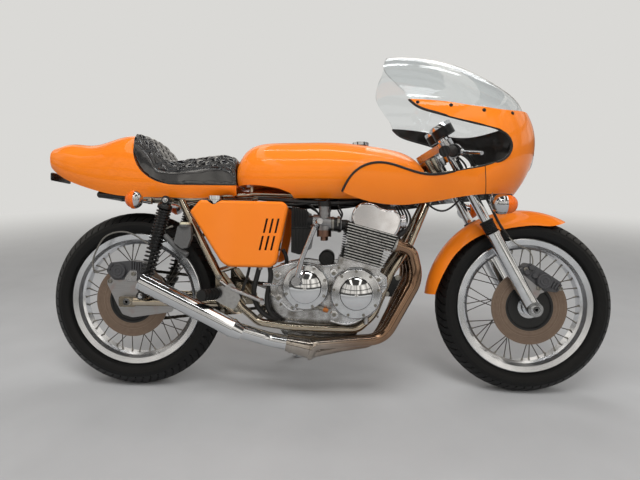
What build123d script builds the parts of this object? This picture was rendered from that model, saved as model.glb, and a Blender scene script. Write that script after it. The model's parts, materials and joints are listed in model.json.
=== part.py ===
# Cafe racer motorcycle, built upright and then leaned onto its side stand.
# Millimetres. X runs forward from the rear axle, Y to the rider's left, Z up from the ground.
import os
from math import atan2, cos, radians, sin, sqrt

from build123d import *

# Driving dimensions of the running gear
wheelbase = 1445.0
lean = 10.0
crown_radius = 50.0
rear_tyre_radius = 325.0
front_tyre_radius = 320.0
rear_tyre_half_width = 55.0
front_tyre_half_width = 50.0
rim_flange_radius = 246.0
rim_bead_radius = 229.0
rim_half_width = 36.0
rim_bed_radius = 207.0
spoke_radius = 1.7
spokes_per_wheel = 40
disc_radius = 134.0
disc_thickness = 7.0
axle_radius = 8.5
axle_bore_radius = 5.0
axle_head = 8.0
axle_boss = 25.0
running_gap = 0.05
face_gap = 0.3

# Driving dimensions of the front end
rake = 28.5
yoke_offset = 60.0
fork_half_spacing = 97.0
stanchion_radius = 17.5
slider_radius = 24.0
slider_top = 292.0
lower_yoke_at = 478.0
upper_yoke_at = 642.0
yoke_thickness = 26.0
bar_radius = 11.0
grip_radius = 17.0

# Driving dimensions of the chassis
frame_tube_radius = 14.0
rail_half_spacing = 125.0
pivot_x = 366.0
pivot_z = 325.0
swingarm_tube_radius = 16.0
shock_half_spacing = 136.0
shock_top_z = 689.5
spring_radius = 25.3
spring_wire = 3.8
chain_y = 70.0
chain_rear_radius = 104.0
chain_front_radius = 44.0

# Driving dimensions of the engine
engine_tilt = 15.0
bore_spacing = 94.0
block_half_width = 188.0
fin_count = 7
block_height = 66.0
head_top = 122.0
exhaust_face = 104.0
intake_face = 767.0
kick_x = 618.0
kick_z = 418.0
fin_pitch = 9.4
fin_thickness = 3.2
header_radius = 19.0
silencer_radius = 31.0
silencer_wall = 3.0

# Driving dimensions of the bodywork
panel_wall = 4.0
screen_wall = 3.0
tank_half_width = 148.0
cowl_half_width = 124.0
fairing_half_width = 232.0
lamp_radius = 76.0
plate_hole_spacing = 100.0

rear_axle = Vector(0, 0, rear_tyre_radius)
front_axle_centre = Vector(wheelbase, 0, front_tyre_radius)
# The nose fairing and all that it carries go forward with the front axle
front_shift = wheelbase - 1445.0


# Points, rods, tubes and plates
def along_fork(distance, ahead=0.0, side=0.0):
    """Point a distance up the fork legs from the front axle, moved ahead and to the left."""
    up = Vector(-sin(radians(rake)), 0, cos(radians(rake)))
    forward = Vector(cos(radians(rake)), 0, sin(radians(rake)))
    return front_axle_centre + up * distance + forward * ahead + Vector(0, side, 0)


def above_ground(x, y, z):
    """Point given on the ground of the leaned machine, in the upright frame."""
    level = z - crown_radius * (1 - cos(radians(lean)))
    return Vector(x, y * cos(radians(lean)) - level * sin(radians(lean)),
                  y * sin(radians(lean)) + level * cos(radians(lean)))


def rod(start, end, radius):
    """Round bar between two points."""
    start = Vector(*start)
    reach = Vector(*end) - start
    return Solid.make_cylinder(radius, reach.length, Plane(origin=start, z_dir=reach.normalized()))


def cone(start, end, start_radius, end_radius):
    """Tapered round bar between two points."""
    start = Vector(*start)
    reach = Vector(*end) - start
    plane = Plane(origin=start, z_dir=reach.normalized())
    return Solid.make_cone(start_radius, end_radius, reach.length, plane)


def bent_tube(points, bend, radius, bore=0.0):
    """Round tube along straight runs joined by arcs; bend is one radius or a list."""
    corners = len(points) - 2
    radii = list(bend) if isinstance(bend, (list, tuple)) else [bend] * corners
    path = FilletPolyline(*[Vector(*p) for p in points], radius=radii)
    section = Circle(radius) if bore == 0 else Circle(radius) - Circle(bore)
    return sweep(Plane(origin=path @ 0, z_dir=path % 0) * section, path=path)


def side_plate(outline, y_low, y_high, corner=0.0):
    """Flat plate with an outline given as x, z points, between two widths."""
    face = make_face(Polyline(*outline, close=True))
    if corner:
        face = fillet(face.vertices(), corner)
    plane = Plane(origin=(0, y_high, 0), x_dir=(1, 0, 0), z_dir=(0, -1, 0))
    return extrude(plane * face, y_high - y_low)


def rounded_face(corners):
    """Face with straight sides and round corners, from points and corner radii."""
    points = [(across, up) for across, up, _ in corners]
    return make_face(FilletPolyline(*points, radius=[corner[2] for corner in corners], close=True))


def rounded_plate(corners, y_low, y_high):
    """Flat plate with round corners given as x, z and radius, between two widths."""
    plane = Plane(origin=(0, y_high, 0), x_dir=(1, 0, 0), z_dir=(0, -1, 0))
    return extrude(plane * rounded_face(corners), y_high - y_low)


def arc_along(start, end, heading):
    """Arc that leaves its start along a heading, or a line where the two line up."""
    chord = (end - start).normalized()
    if abs(chord.X * heading.Y - chord.Y * heading.X) < 1e-4:
        return Line(start, end)
    return TangentArc(start, end, tangent=heading)


def smooth_run(points):
    """Edges of a smooth line through x, z points: two arcs that meet tangent in each gap."""
    spots = [Vector(across, up) for across, up in points]
    if len(spots) == 2:
        return [Line(*spots)]
    gaps = [after - before for before, after in zip(spots, spots[1:])]
    middle = [(a / a.length ** 2 + b / b.length ** 2).normalized() for a, b in zip(gaps, gaps[1:])]
    first, last = gaps[0].normalized(), gaps[-1].normalized()
    headings = [first * (2 * middle[0].dot(first)) - middle[0], *middle,
                last * (2 * middle[-1].dot(last)) - middle[-1]]
    edges = []
    for start, end, leave, arrive in zip(spots, spots[1:], headings, headings[1:]):
        gap = end - start
        both = gap.dot(leave + arrive)
        reach = gap.dot(gap) / (both + sqrt(both ** 2 + 2 * (1 - leave.dot(arrive)) * gap.dot(gap)))
        meet = (start + end + (leave - arrive) * reach) / 2
        chord = (meet - start).normalized()
        edges.append(arc_along(start, meet, leave))
        edges.append(arc_along(meet, end, chord * (2 * leave.dot(chord)) - leave))
    return edges


def shaped_plate(runs, y_low, y_high):
    """Plate inside runs of x, z points; a run of two points is straight, a longer one smooth."""
    face = make_face([edge for run in runs for edge in smooth_run(run)])
    plane = Plane(origin=(0, y_high, 0), x_dir=(1, 0, 0), z_dir=(0, -1, 0))
    return extrude(plane * face, y_high - y_low)


def cap_middle(radius, height):
    """Point halfway along the arc from a cap's apex, on the axis, to its rim: radius and height."""
    ball = (radius ** 2 + height ** 2) / (2 * height)
    half_angle = atan2(radius, ball - height) / 2
    return ball * sin(half_angle), height - ball + ball * cos(half_angle)


def lamp_bowl(mouth, heading, radius, depth, lens_depth):
    """Round lamp: a bowl behind its mouth, a ring and a domed lens; it faces along X by its heading."""
    ring = 4.0
    glass = radius - 3
    bowl_r, bowl_h = cap_middle(radius, depth)
    lens_r, lens_h = cap_middle(glass, lens_depth)
    edges = [
        ThreePointArc((0, -depth), (bowl_r, -bowl_h), (radius, 0)),
        Line((radius, 0), (radius, ring)),
        Line((radius, ring), (glass, ring)),
        ThreePointArc((glass, ring), (lens_r, ring + lens_h), (0, ring + lens_depth)),
        Line((0, ring + lens_depth), (0, -depth)),
    ]
    bowl = revolve(make_face(edges), Axis.Y, 360)
    return Plane(origin=mouth, x_dir=(0, -heading, 0), z_dir=(0, 0, 1)) * bowl


def box_between(low, high):
    """Box from its lowest to its highest corner."""
    size = [b - a for a, b in zip(low, high)]
    middle = [(a + b) / 2 for a, b in zip(low, high)]
    return Pos(*middle) * Box(*size)


def both_sides(shape):
    """A piece and its mirror image on the other side of the machine."""
    return Compound(children=[*shape.solids(), *mirror(shape, Plane.XZ).solids()])


def mirrored_pair(shape):
    """Piece fused with its own mirror image."""
    return shape + mirror(shape, Plane.XZ)


# Wheels: tyre, rim, spokes, hub and disc
def tyre(tyre_radius, half_width):
    """Hollow tyre with a round crown, seated between the rim's flanges."""
    seat = rim_half_width - 5
    tread_edge = half_width - 11
    crown_centre = tyre_radius - crown_radius
    edge_radius = crown_centre + sqrt(crown_radius ** 2 - tread_edge ** 2)
    side_radius = (edge_radius + rim_flange_radius) / 2 + 4
    flange = rim_flange_radius + 1.5
    wall = 9.0

    def half(inset, sign):
        edge = (edge_radius - inset * 0.5, sign * (tread_edge - inset * 0.7))
        side = (side_radius, sign * (half_width - inset))
        foot = (flange, sign * (seat - inset))
        return edge, side, foot

    crown = (tyre_radius, 0)
    inner_crown = (tyre_radius - wall - 3, 0)
    outer_low, side_low, foot_low = half(0, -1)
    outer_high, side_high, foot_high = half(0, 1)
    in_low, in_side_low, in_foot_low = half(wall, -1)
    in_high, in_side_high, in_foot_high = half(wall, 1)
    bead_low = (rim_bead_radius + 2.5, -seat + 0.5)
    bead_high = (rim_bead_radius + 2.5, seat - 0.5)
    in_bead_low = (rim_bead_radius + 2.5, -seat + wall + 2)
    in_bead_high = (rim_bead_radius + 2.5, seat - wall - 2)
    edges = [
        ThreePointArc(outer_low, crown, outer_high),
        ThreePointArc(outer_high, side_high, foot_high),
        Line(foot_high, bead_high),
        Line(bead_high, in_bead_high),
        Line(in_bead_high, in_foot_high),
        ThreePointArc(in_foot_high, in_side_high, in_high),
        ThreePointArc(in_high, inner_crown, in_low),
        ThreePointArc(in_low, in_side_low, in_foot_low),
        Line(in_foot_low, in_bead_low),
        Line(in_bead_low, bead_low),
        Line(bead_low, foot_low),
        ThreePointArc(foot_low, side_low, outer_low),
    ]
    return revolve(make_face(edges), Axis.Y, 360)


def rim():
    """Shouldered alloy rim with a well in its middle."""
    w = rim_half_width
    half = [
        (rim_flange_radius, w), (rim_flange_radius, w - 4), (rim_bead_radius + 2, w - 5.5),
        (rim_bead_radius, w - 17), (rim_bead_radius - 12, w - 22),
    ]
    outer = [
        (rim_bed_radius, 16), (rim_bed_radius + 8, 21), (rim_bed_radius + 17, w - 2),
        (rim_flange_radius - 3, w + 1.5),
    ]
    profile = half + [(r, -y) for r, y in reversed(half)]
    profile += [(r, -y) for r, y in reversed(outer)] + outer
    return revolve(make_face(Polyline(*profile, close=True)), Axis.Y, 360)


def spokes(flange_radius, flange_y):
    """Laced wire spokes: from each hub flange one set leads and one trails."""
    rods = []
    per_set = spokes_per_wheel // 4
    step = 360 / per_set
    sweep_angle = 3 * 360 / (spokes_per_wheel / 2)
    for side in (-1, 1):
        for lead in (-1, 1):
            for number in range(per_set):
                hub_angle = number * step + (step / 2 if lead > 0 else 0) + (step / 4 if side > 0 else 0)
                rim_angle = hub_angle + lead * sweep_angle
                hub_y = side * (flange_y + lead * 4.5)
                rim_y = side * 7
                hub_point = polar(flange_radius, hub_angle, hub_y)
                rim_point = polar(rim_bed_radius + 3, rim_angle, rim_y)
                rods.append(rod(hub_point, rim_point, spoke_radius))
    return Compound(children=rods)


def polar(radius, angle, y):
    """Point at a radius and an angle about the Y axis."""
    return Vector(radius * cos(radians(angle)), y, radius * sin(radians(angle)))


def hub(flange_radius, flange_y, disc_face, drive_face):
    """Turned hub: barrel, two spoke flanges and the seats of disc and sprocket."""
    barrel = flange_radius - 20
    profile = [
        (axle_radius + running_gap, disc_face), (barrel + 8, disc_face), (barrel + 8, -flange_y - 9),
        (flange_radius + 8, -flange_y - 4), (flange_radius + 8, -flange_y + 4), (barrel, -flange_y + 9),
        (barrel - 6, 0),
        (barrel, flange_y - 9), (flange_radius + 8, flange_y - 4), (flange_radius + 8, flange_y + 4),
        (barrel + 8, flange_y + 9), (barrel + 8, drive_face), (axle_radius + running_gap, drive_face),
    ]
    return revolve(make_face(Polyline(*profile, close=True)), Axis.Y, 360)


def sprocket():
    """Rear sprocket with lightening holes."""
    plate = rod((0, chain_y - 4, 0), (0, chain_y + 4, 0), chain_rear_radius - 11 - face_gap)
    plate -= rod((0, 0, 0), (0, 100, 0), 48 + running_gap)
    for number in range(6):
        spot = polar(70, number * 60, 0)
        plate -= rod(spot, spot + Vector(0, 100, 0), 11)
    return plate


def disc(bore, middle_y, dish_y):
    """Brake disc: a flat ring on a dished carrier that seats on the hub."""
    half = disc_thickness / 2
    ring_inner = 84.0
    profile = [
        (disc_radius, middle_y - half), (disc_radius, middle_y + half), (ring_inner, middle_y + half),
        (ring_inner - 6, dish_y + 5), (bore, dish_y + 5), (bore, dish_y),
        (ring_inner - 10, dish_y), (ring_inner - 6, middle_y - half),
    ]
    return revolve(make_face(Polyline(*profile, close=True)), Axis.Y, 360)


# Frame cradle, swingarm and rear suspension
stand_pivot = Vector(520, rail_half_spacing + 35, 266)
stand_folded = Vector(-0.98, 0.15, 0.12).normalized()


def stand_foot():
    """Middle of the prop stand's foot pad, on the ground."""
    return above_ground(590, 262, 5)


def stand_hinge_axis():
    """Axis that swings the prop stand from folded back to its stop."""
    return stand_folded.cross((stand_foot() - stand_pivot).normalized()).normalized()


def cradle_side():
    """Loop on the right: down tube, lower rail, and up to the seat rail."""
    y = -rail_half_spacing
    root = along_fork(545, -yoke_offset - 24)
    loop = [
        (root.X, root.Z, -22),
        (1011, 537, -84), (946, 442, -100), (884, 291, -112), (826, 239, -118), (600, 246, y),
        (478, 262, y), (412, 319, y), (336, 424, y), (190, 690, -96),
    ]
    points = [(x, width, z) for x, z, width in loop]
    return bent_tube(points, [150, 150, 110, 60, 300, 60, 70, 120], frame_tube_radius)


def small_brackets():
    """Lugs of the right side: start, end and radius of each."""
    return [
        # cowl post under the seat and cowl stay in the tail
        ((250, -83, 702), (250, -83, 738 - face_gap), 8),
        ((-60, -84, 712), (-60, -84, 754), 8),
        # side cover peg on the rear tube
        ((242, -108, 600), (300, -118, 600), 6),
        ((300, -110, 600), (300, -140 + face_gap, 600), 8),
        # brake cylinder bracket
        ((258, -110, 570), (214, -115, 570), 6),
        ((214, -108, 570), (214, -128 + face_gap, 570), 8),
        # tank pads on the seat rail
        ((440, -69, 718), (440, -69, 746 - face_gap), 8),
        # rear lamp lug
        ((74, -94, 678), (74, -94, 700), 8),
    ]


def frame():
    """Duplex cradle with spine, seat rails, headstock and pivot plates."""
    head_low = along_fork(lower_yoke_at + yoke_thickness + 2, -yoke_offset)
    head_high = along_fork(upper_yoke_at - 2, -yoke_offset)
    head = rod(head_low, head_high, 30)
    spine = bent_tube([(430, 0, 722), (620, 0, 752), (1105 + front_shift, 0, 800)], 300, 21)
    y = -rail_half_spacing
    seat_rail = bent_tube([(-120, -84, 712), (200, -86, 698), (430, -70, 716), (560, -20, 735)],
                          [200, 120], 12)
    brace = bent_tube([(430, -68, 720), (640, -58, 718), (1094 + front_shift, -28, 748)], 200, 11)
    plate = rounded_plate([(322, 428, 8), (352, 438, 10), (432, 330, 12), (420, 290, 10), (352, 284, 16),
                           (324, 330, 14)], y + 3, y + 13)
    side = cradle_side() + seat_rail + brace + plate
    crossings = rod((190, -96, 693), (190, 96, 693), 10)
    crossings += rod((-118, -84, 712), (-118, 84, 712), 11)
    crossings += rod((330, y, 440), (330, -y, 440), 11)
    crossings += rod((470, y, 266), (470, -y, 266), 11)
    spine_end = head_low + (head_high - head_low) * 0.5
    crossings += rod((spine_end.X - 86, -42 + face_gap, 790), (spine_end.X - 86, 42 - face_gap, 790), 12)
    bolt = rod((pivot_x, y - 8, pivot_z), (pivot_x, -y + 8, pivot_z), 9)
    shock_stud = rod((150, -82, shock_top_z), (150, -shock_half_spacing - 14, shock_top_z), 7)
    engine_plate = rounded_plate([(880, 402, 10), (883, 374, 8), (926, 358, 8), (947, 355, 5), (980, 417, 6),
                                  (972, 430, 6), (900, 420, 12)], -106, -100)
    down_root = along_fork(545, -yoke_offset - 24)
    share = (700 - 537) / (down_root.Z - 537)
    stay_x = 1011 + (down_root.X - 1011) * share
    flank_stay = rod((stay_x, -40, 700), (stay_x, -fairing_half_width - 8, 700), 6)
    flank_stay &= Pos(front_shift, 0, 0) * fairing_form(panel_wall + face_gap)
    nose_stay = rod(along_fork(572, -yoke_offset + 24, -14), (1393.6 + front_shift, -14, 850), 7)
    cowl_stay = rod((-60, -80, 748), (-60, -cowl_half_width - 8, 748), 7) & cowl_form(panel_wall + face_gap, 0)
    side = side + shock_stud + engine_plate + flank_stay + nose_stay + cowl_stay
    for start, end, radius in small_brackets():
        side += rod(start, end, radius)
    stand_axis = stand_hinge_axis()
    stand_lug = rod(stand_pivot + stand_axis * (10 + face_gap), stand_pivot + stand_axis * 38, 12)
    stand_pin = rod(stand_pivot - stand_axis * 13, stand_pivot + stand_axis * 20, 6)
    whole = mirrored_pair(side) + head + spine + crossings + bolt + stand_lug + stand_pin
    return whole - rod(head_low - (head_high - head_low), head_high * 2 - head_low, 13 + running_gap)


def swingarm():
    """Pivot tube, two legs with axle ends, and the lower shock studs."""
    end_y = 104.0
    pivot_y = 92.0
    leg = bent_tube([(pivot_x, -pivot_y, pivot_z), (250, -end_y, pivot_z), (22, -end_y, pivot_z)],
                    300, swingarm_tube_radius)
    end = side_plate([(-32, 306), (30, 306), (30, 344), (-32, 344)], -end_y - 8, -end_y + 8, 8)
    stud = rod((63, -end_y, 352), (63, -shock_half_spacing - 12, 352), 7)
    lug = side_plate([(46, 330), (80, 330), (74, 364), (52, 364)], -end_y - 6, -end_y + 6, 4)
    cross = rod((292, -end_y, pivot_z + 4), (292, end_y, pivot_z + 4), 12)
    tube = rod((pivot_x, -108, pivot_z), (pivot_x, 108, pivot_z), 22)
    whole = mirrored_pair(leg + end + stud + lug) + tube
    cross_front = rod((344, -90, pivot_z), (344, 90, pivot_z), 13)
    whole = whole + cross_front - rod((0, -200, rear_axle.Z), (0, 200, rear_axle.Z), axle_radius + running_gap)
    return whole - rod((pivot_x, -120, pivot_z), (pivot_x, 120, pivot_z), 9 + running_gap)


def axle_tube(centre, half_length, hub_face, carrier_face):
    """Hollow axle with a collar on each side between the hub and what carries the axle."""
    tube = rod(centre - Vector(0, half_length, 0), centre + Vector(0, half_length, 0), axle_radius)
    for side in (-1, 1):
        tube += rod(centre + Vector(0, side * (hub_face + face_gap), 0),
                    centre + Vector(0, side * (carrier_face - face_gap), 0), 14)
        tube += rod(centre + Vector(0, side * (half_length - axle_head), 0),
                    centre + Vector(0, side * half_length, 0), 13)
    return tube - rod(centre - Vector(0, 300, 0), centre + Vector(0, 300, 0), axle_bore_radius)


def rear_shocks():
    """Two spring units between the seat rail and the swingarm."""
    y = -shock_half_spacing
    top = Vector(150, y, shock_top_z)
    low = Vector(63, y, 352)
    run = low - top
    eye_half = 11.0
    unit = rod(top - Vector(0, eye_half, 0), top + Vector(0, eye_half, 0), 15)
    unit += rod(low - Vector(0, eye_half, 0), low + Vector(0, eye_half, 0), 15)
    # damper body, rod and the lower spring seat
    unit += rod(top + run * 0.03, top + run * 0.4, 19) + rod(top + run * 0.4, low - run * 0.03, 18)
    unit += rod(low - run * 0.14, low - run * 0.08, 26) + rod(top + run * 0.06, top + run * 0.1, 26)
    for number in range(13):
        seat = top + run * (0.12 + 0.0575 * number)
        unit += rod(seat, seat + run.normalized() * spring_wire * 2, spring_radius)
    unit -= rod(top - Vector(0, 20, 0), top + Vector(0, 20, 0), 7 + running_gap)
    unit -= rod(low - Vector(0, 20, 0), low + Vector(0, 20, 0), 7 + running_gap)
    return both_sides(unit)


# Engine
def engine_place():
    """Frame of the cylinders: origin at the middle of their base, tilted forward."""
    return Pos(834, 0, 479) * Rot(0, engine_tilt, 0)


def engine_point(x, y, z):
    """Point given in the frame of the cylinders."""
    return Vector(*(engine_place() * Pos(x, y, z)).position)


def crankcase():
    """Cases: a narrow lower half between the rails and a wide upper half."""
    low = rounded_plate([(888, 430, 12), (868, 292, 30), (820, 205, 16), (790, 188, 16), (600, 188, 20),
                         (560, 215, 20), (510, 290, 24), (500, 370, 24), (560, 450, 12)], -88, 88)
    high = rounded_plate([(519, 452, 10), (635, 475, 60), (701, 466, 60), (760, 473, 8), (775, 484, 6),
                          (900, 447, 10), (922, 432, 10), (924, 398, 12), (888, 342, 30), (846, 288, 16),
                          (790, 264, 20), (733, 273, 8), (731, 316, 4), (592, 311, 24), (525, 362, 40)],
                         -152, 152)
    # pockets for the down tubes and the engine plates
    pocket = side_plate([(876, 340), (960, 340), (960, 437), (876, 437)], -134, -88)
    high -= both_sides(pocket)
    deck = engine_place() * box_between((-74, -150, -30), (74, 150, 0))
    whole = low + high + deck - chain_loop(16, 8)
    # front mounting boss and the oil filter's housing
    whole += rod((892, -100 + face_gap, 392), (892, 100 - face_gap, 392), 13)
    whole += rod((860, 0, 300), (912, 0, 300), 34)
    for x in (884, 895, 906):
        whole += rod((x, 0, 300), (x + 5, 0, 300), 38)
    return whole


def cooling_fin(z):
    """Flat fin round the cylinders at a height; the fins widen towards the top."""
    share = z / 120
    fin = box_between((-68 - 17 * share, -block_half_width, z), (82 + 19 * share, block_half_width, z + fin_thickness))
    return fillet(fin.edges().filter_by(Axis.Z), 12)


def chain_loop(clear_out, clear_side):
    """Space swept by the drive chain, or the chain itself with no clearances."""
    rear = (0.0, rear_tyre_radius, chain_rear_radius)
    front = (545.0, 332.0, chain_front_radius)
    return hull_ring(rear, front, clear_out, chain_y - 8 - clear_side, chain_y + 8 + clear_side)


def hull_ring(rear, front, grow, y_low, y_high):
    """Solid around two circles with straight tangents between them."""
    rx, rz, rr = rear
    fx, fz, fr = front
    first = Pos(rx, rz) * Circle(rr + grow)
    second = Pos(fx, fz) * Circle(fr + grow)
    face = make_hull([*first.edges(), *second.edges()])
    plane = Plane(origin=(0, y_high, 0), x_dir=(1, 0, 0), z_dir=(0, -1, 0))
    return extrude(plane * face, y_high - y_low)


def drive_chain():
    """Closed loop of chain round both sprockets."""
    rear = (0.0, rear_tyre_radius, chain_rear_radius)
    front = (545.0, 332.0, chain_front_radius)
    outer = hull_ring(rear, front, 0, chain_y - 7, chain_y + 7)
    inner = hull_ring(rear, front, -11, chain_y - 9, chain_y + 9)
    return outer - inner


def cylinder_block():
    """Four barrels in one finned block."""
    core = box_between((-56, -block_half_width + 16, face_gap), (64, block_half_width - 16, block_height))
    for number in range(fin_count):
        core += cooling_fin(4 + number * fin_pitch)
    return engine_place() * core


def cylinder_head():
    """Finned head with exhaust stubs in front and intake stubs behind."""
    low = block_height + face_gap
    head = box_between((-64, -block_half_width + 16, low), (72, block_half_width - 16, head_top))
    for number in range(fin_count - 1):
        head += cooling_fin(block_height + 3.5 + number * fin_pitch)
    for number in range(4):
        y = (number - 1.5) * bore_spacing
        head += rod((60, y, 93), (exhaust_face, y, 91), 24)
        head += rod((-60, y, 100), (-80, y, 112), 17)
    whole = engine_place() * head
    elbow = engine_point(-80, 0, 112)
    for number in range(4):
        y = (number - 1.5) * bore_spacing
        whole += Pos(elbow.X, y, elbow.Z) * Sphere(17)
        whole += rod((elbow.X, y, 609), (intake_face, y, 609), 17)
    return whole


def cam_cover():
    """Polished cover over the camshaft, with finned caps along its front."""
    half = 165.0
    low = head_top + face_gap
    runs = [
        [(92, low), (-64, low)],
        [(-64, low), (-72, 142), (-70, 172), (-56, 194), (-24, 205), (34, 198), (66, 203), (90, 189),
         (98, 158), (92, low)],
    ]
    cover = shaped_plate(runs, -half, half)
    ends = cover.edges().filter_by(lambda edge: abs(abs(edge.center().Y) - half) < 0.01)
    cover = fillet([edge for edge in ends if edge.center().Z > low + 0.1], 9)
    for number in range(4):
        y = (number - 1.5) * bore_spacing
        start = Vector(86, y, 165)
        out = Vector(0.9, 0, 0.436)
        cover += rod(start, start + out * 28, 19)
        for step in (13, 19, 25):
            cover += rod(start + out * step, start + out * (step + 3), 24)
    return engine_place() * cover


def round_cover(x, z, flange, drum, depth):
    """Round cover on the case's side: flange, raised drum and crowned cap; depth points outward."""
    out = 1 if depth > 0 else -1
    seat = 152 + face_gap
    reach = abs(depth)
    crown = reach - 14
    cap_r, cap_h = cap_middle(drum, 14)

    def at(radius, height):
        return radius, out * (seat + height)

    sides = FilletPolyline(at(0, 0), at(flange, 0), at(flange, 18), at(drum + 4, 21), at(drum, 24),
                           at(drum, crown), radius=[0, 6, 3, 2])
    cap = ThreePointArc(at(drum, crown), at(cap_r, crown + cap_h), at(0, reach))
    face = make_face([*sides.edges(), cap, Line(at(0, reach), at(0, 0))])
    return Pos(x, 0, z) * revolve(face, Axis.Y, 360)


def engine_covers():
    """Round covers on both sides of the cases, with the kick shaft's boss on the right."""
    clutch = round_cover(646, 393, 78, 53, -60)
    boss = rod((kick_x, -160, kick_z), (kick_x, -206, kick_z), 27)
    clutch = clutch + boss - rod((kick_x, -400, kick_z), (kick_x, -100, kick_z), 9 + face_gap)
    clutch -= rod((kick_x, -152, kick_z), (kick_x, -158, kick_z), 9 + face_gap)
    points = round_cover(819, 372, 86, 54, -46)
    generator = round_cover(819, 372, 86, 58, 56)
    sprocket_cover = rounded_plate([(512, 300, 34), (512, 392, 40), (612, 398, 40), (640, 350, 30), (612, 290, 34)],
                                   152 + face_gap, 166)
    return Compound(children=[s for shape in (clutch, points, generator, sprocket_cover) for s in shape.solids()])


# Intake and exhaust
def carburettors():
    """Four carburettors in a row: bore, bell, slide chamber with its cap, and float bowl."""
    bar_end = 1.7 * bore_spacing
    whole = rod((718, -bar_end, 646), (718, bar_end, 646), 5)
    for number in range(4):
        y = (number - 1.5) * bore_spacing
        whole += rod((intake_face - face_gap, y, 609), (756, y, 609), 25)
        whole += rod((762, y, 609.5), (690, y, 616), 23)
        whole += rod((692, y, 616), (668, y, 618), 26)
        whole += rod((707, y, 612), (707, y, 670), 19) + rod((707, y, 670), (707, y, 687), 22)
        whole += rod((706, y, 604), (706, y, 592), 27) + rod((706, y, 592), (706, y, 566), 24)
        whole += rod((706, y, 568), (706, y, 552), 11)
    return whole


def airbox():
    """Ribbed air filter box behind the carburettors, with a lid."""
    box = rounded_plate([(594, 669, 4), (650, 657, 14), (662, 612, 20), (649, 517, 12), (624, 503, 12),
                         (594, 511, 4)], -158, 158)
    box -= both_sides(box_between((590, -160, 606), (670, -155, 610)))
    for number in range(4):
        x = 602 + number * 12
        box += both_sides(rounded_plate([(x, 520, 2), (x + 6, 520, 2), (x + 6, 598, 2), (x, 598, 2)], -161, -150))
    for number in range(4):
        y = (number - 1.5) * bore_spacing
        box += rod((668 - face_gap, y, 618), (645, y, 620), 21)
    return box


def exhaust_headers():
    """Four pipes from the head that sweep under the engine into one collector."""
    routes = [
        # port, lower corner x, y, z, then the y and z where it enters the collector
        (0, 918, -146, 214, -149, 191),
        (1, 912, -114, 208, -122, 191),
        (2, 902, 20, 166, -122, 163),
        (3, 925, 90, 160, -149, 163),
    ]
    whole = None
    for port, low_x, low_y, low_z, end_y, end_z in routes:
        y = (port - 1.5) * bore_spacing
        start = engine_point(exhaust_face + face_gap, y, 91)
        reach = engine_point(exhaust_face + 56, y, 88)
        out = (reach - start).normalized()
        points = [start, reach, (1034, y, 424), (low_x, low_y, low_z), (662, end_y, end_z)]
        pipe = bent_tube(points, [40, 110, 90], header_radius)
        pipe += rod(start, start + out * 7, 27) + rod(start + out * 7, start + out * 14, 23)
        whole = pipe if whole is None else whole + pipe
    whole += cone((672, -136, 177), (580, -136, 194), 41, 30)
    return whole + rod((600, -136, 190.3), (592, -136, 191.8), 34)


def silencer():
    """Tail pipe and open-ended silencer on the right, with its rings."""
    low = Vector(400, -182, 250)
    high = Vector(87, -196, 408)
    along = (high - low).normalized()
    neck = bent_tube([(579.4, -136, 194.1), (514, -137.4, 205.5), low], 110, 25)
    whole = neck + cone(low - along * 36, low, 25, silencer_radius) + rod(low, high, silencer_radius)
    whole += rod(low, low + along * 9, silencer_radius + 2) + rod(high - along * 7, high, silencer_radius + 1.5)
    inner = rod(low + along * 78, high + along * 9, silencer_radius - silencer_wall)
    return whole - inner


def kick_starter():
    """Folding kick lever on its shaft, right side."""
    shaft = rod((kick_x, -152.6, kick_z), (kick_x, -236, kick_z), 9)
    hub_end = rod((kick_x, -222, kick_z), (kick_x, -240, kick_z), 15)
    arm = bent_tube([(kick_x, -231, kick_z), (640, -236, 500), (684, -240, 609)], 200, 8)
    pedal = rod((672, -212, 602), (696, -268, 616), 10)
    knuckle = rod((682, -230, 600), (686, -250, 612), 13)
    return shaft + hub_end + arm + pedal + knuckle


# Bodywork
def body_section(x, low, high, half_width, base=0.8, shoulder=0.66):
    """Closed section across the machine: flat base, bulged sides and an arched top."""
    span = high - low
    edge_z = low + span * shoulder
    wide_z = low + span * 0.36
    side = half_width * 0.93
    foot = half_width * base
    plane = Plane(origin=(x, 0, 0), x_dir=(0, 1, 0), z_dir=(1, 0, 0))
    edges = [
        Line((-foot, low), (foot, low)),
        ThreePointArc((foot, low), (half_width, wide_z), (side, edge_z)),
        ThreePointArc((side, edge_z), (0, high), (-side, edge_z)),
        ThreePointArc((-side, edge_z), (-half_width, wide_z), (-foot, low)),
    ]
    return plane * make_face(edges)


def fuel_tank():
    """Long tank with a rounded rear, arched over the frame at its tail."""
    table = [
        # x, base z, top z, share of the half width
        (392, 742, 846, 0.66),
        (425, 716, 893, 0.84),
        (520, 702, 916, 0.96),
        (700, 702, 919, 1.0),
        (880, 704, 905, 0.92),
        (990, 716, 882, 0.74),
        (1066, 748, 826, 0.5),
    ]
    sections = [body_section(x, low, high, tank_half_width * share) for x, low, high, share in table]
    shape = loft(sections)
    arch = shaped_plate([[(598, 690), (598, 700)], [(598, 700), (592, 712), (560, 729), (500, 742), (380, 744)],
                         [(380, 744), (380, 690)], [(380, 690), (598, 690)]], -200, 200)
    tunnel = side_plate([(380, 690), (1100, 690), (1100, 832), (640, 785), (380, 758)], -42, 42)
    rails = side_plate([(380, 690), (1100, 690), (1100, 790), (900, 748), (380, 746)], -84, 84)
    return shape - arch - tunnel - rails - rod((838, 0, 909.5), (838, 0, 940), 30 + face_gap)


def filler_caps():
    """Fuel cap set in the tank's top and oil cap on the oil tank."""
    fuel = rod((838, 0, 909.5 + face_gap), (838, 0, 921), 30)
    oil = rod((330, -158, 676 + face_gap), (330, -158, 690), 20) + rod((330, -158, 690), (330, -158, 703), 26)
    return Compound(children=[*fuel.solids(), *oil.solids()])


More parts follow.
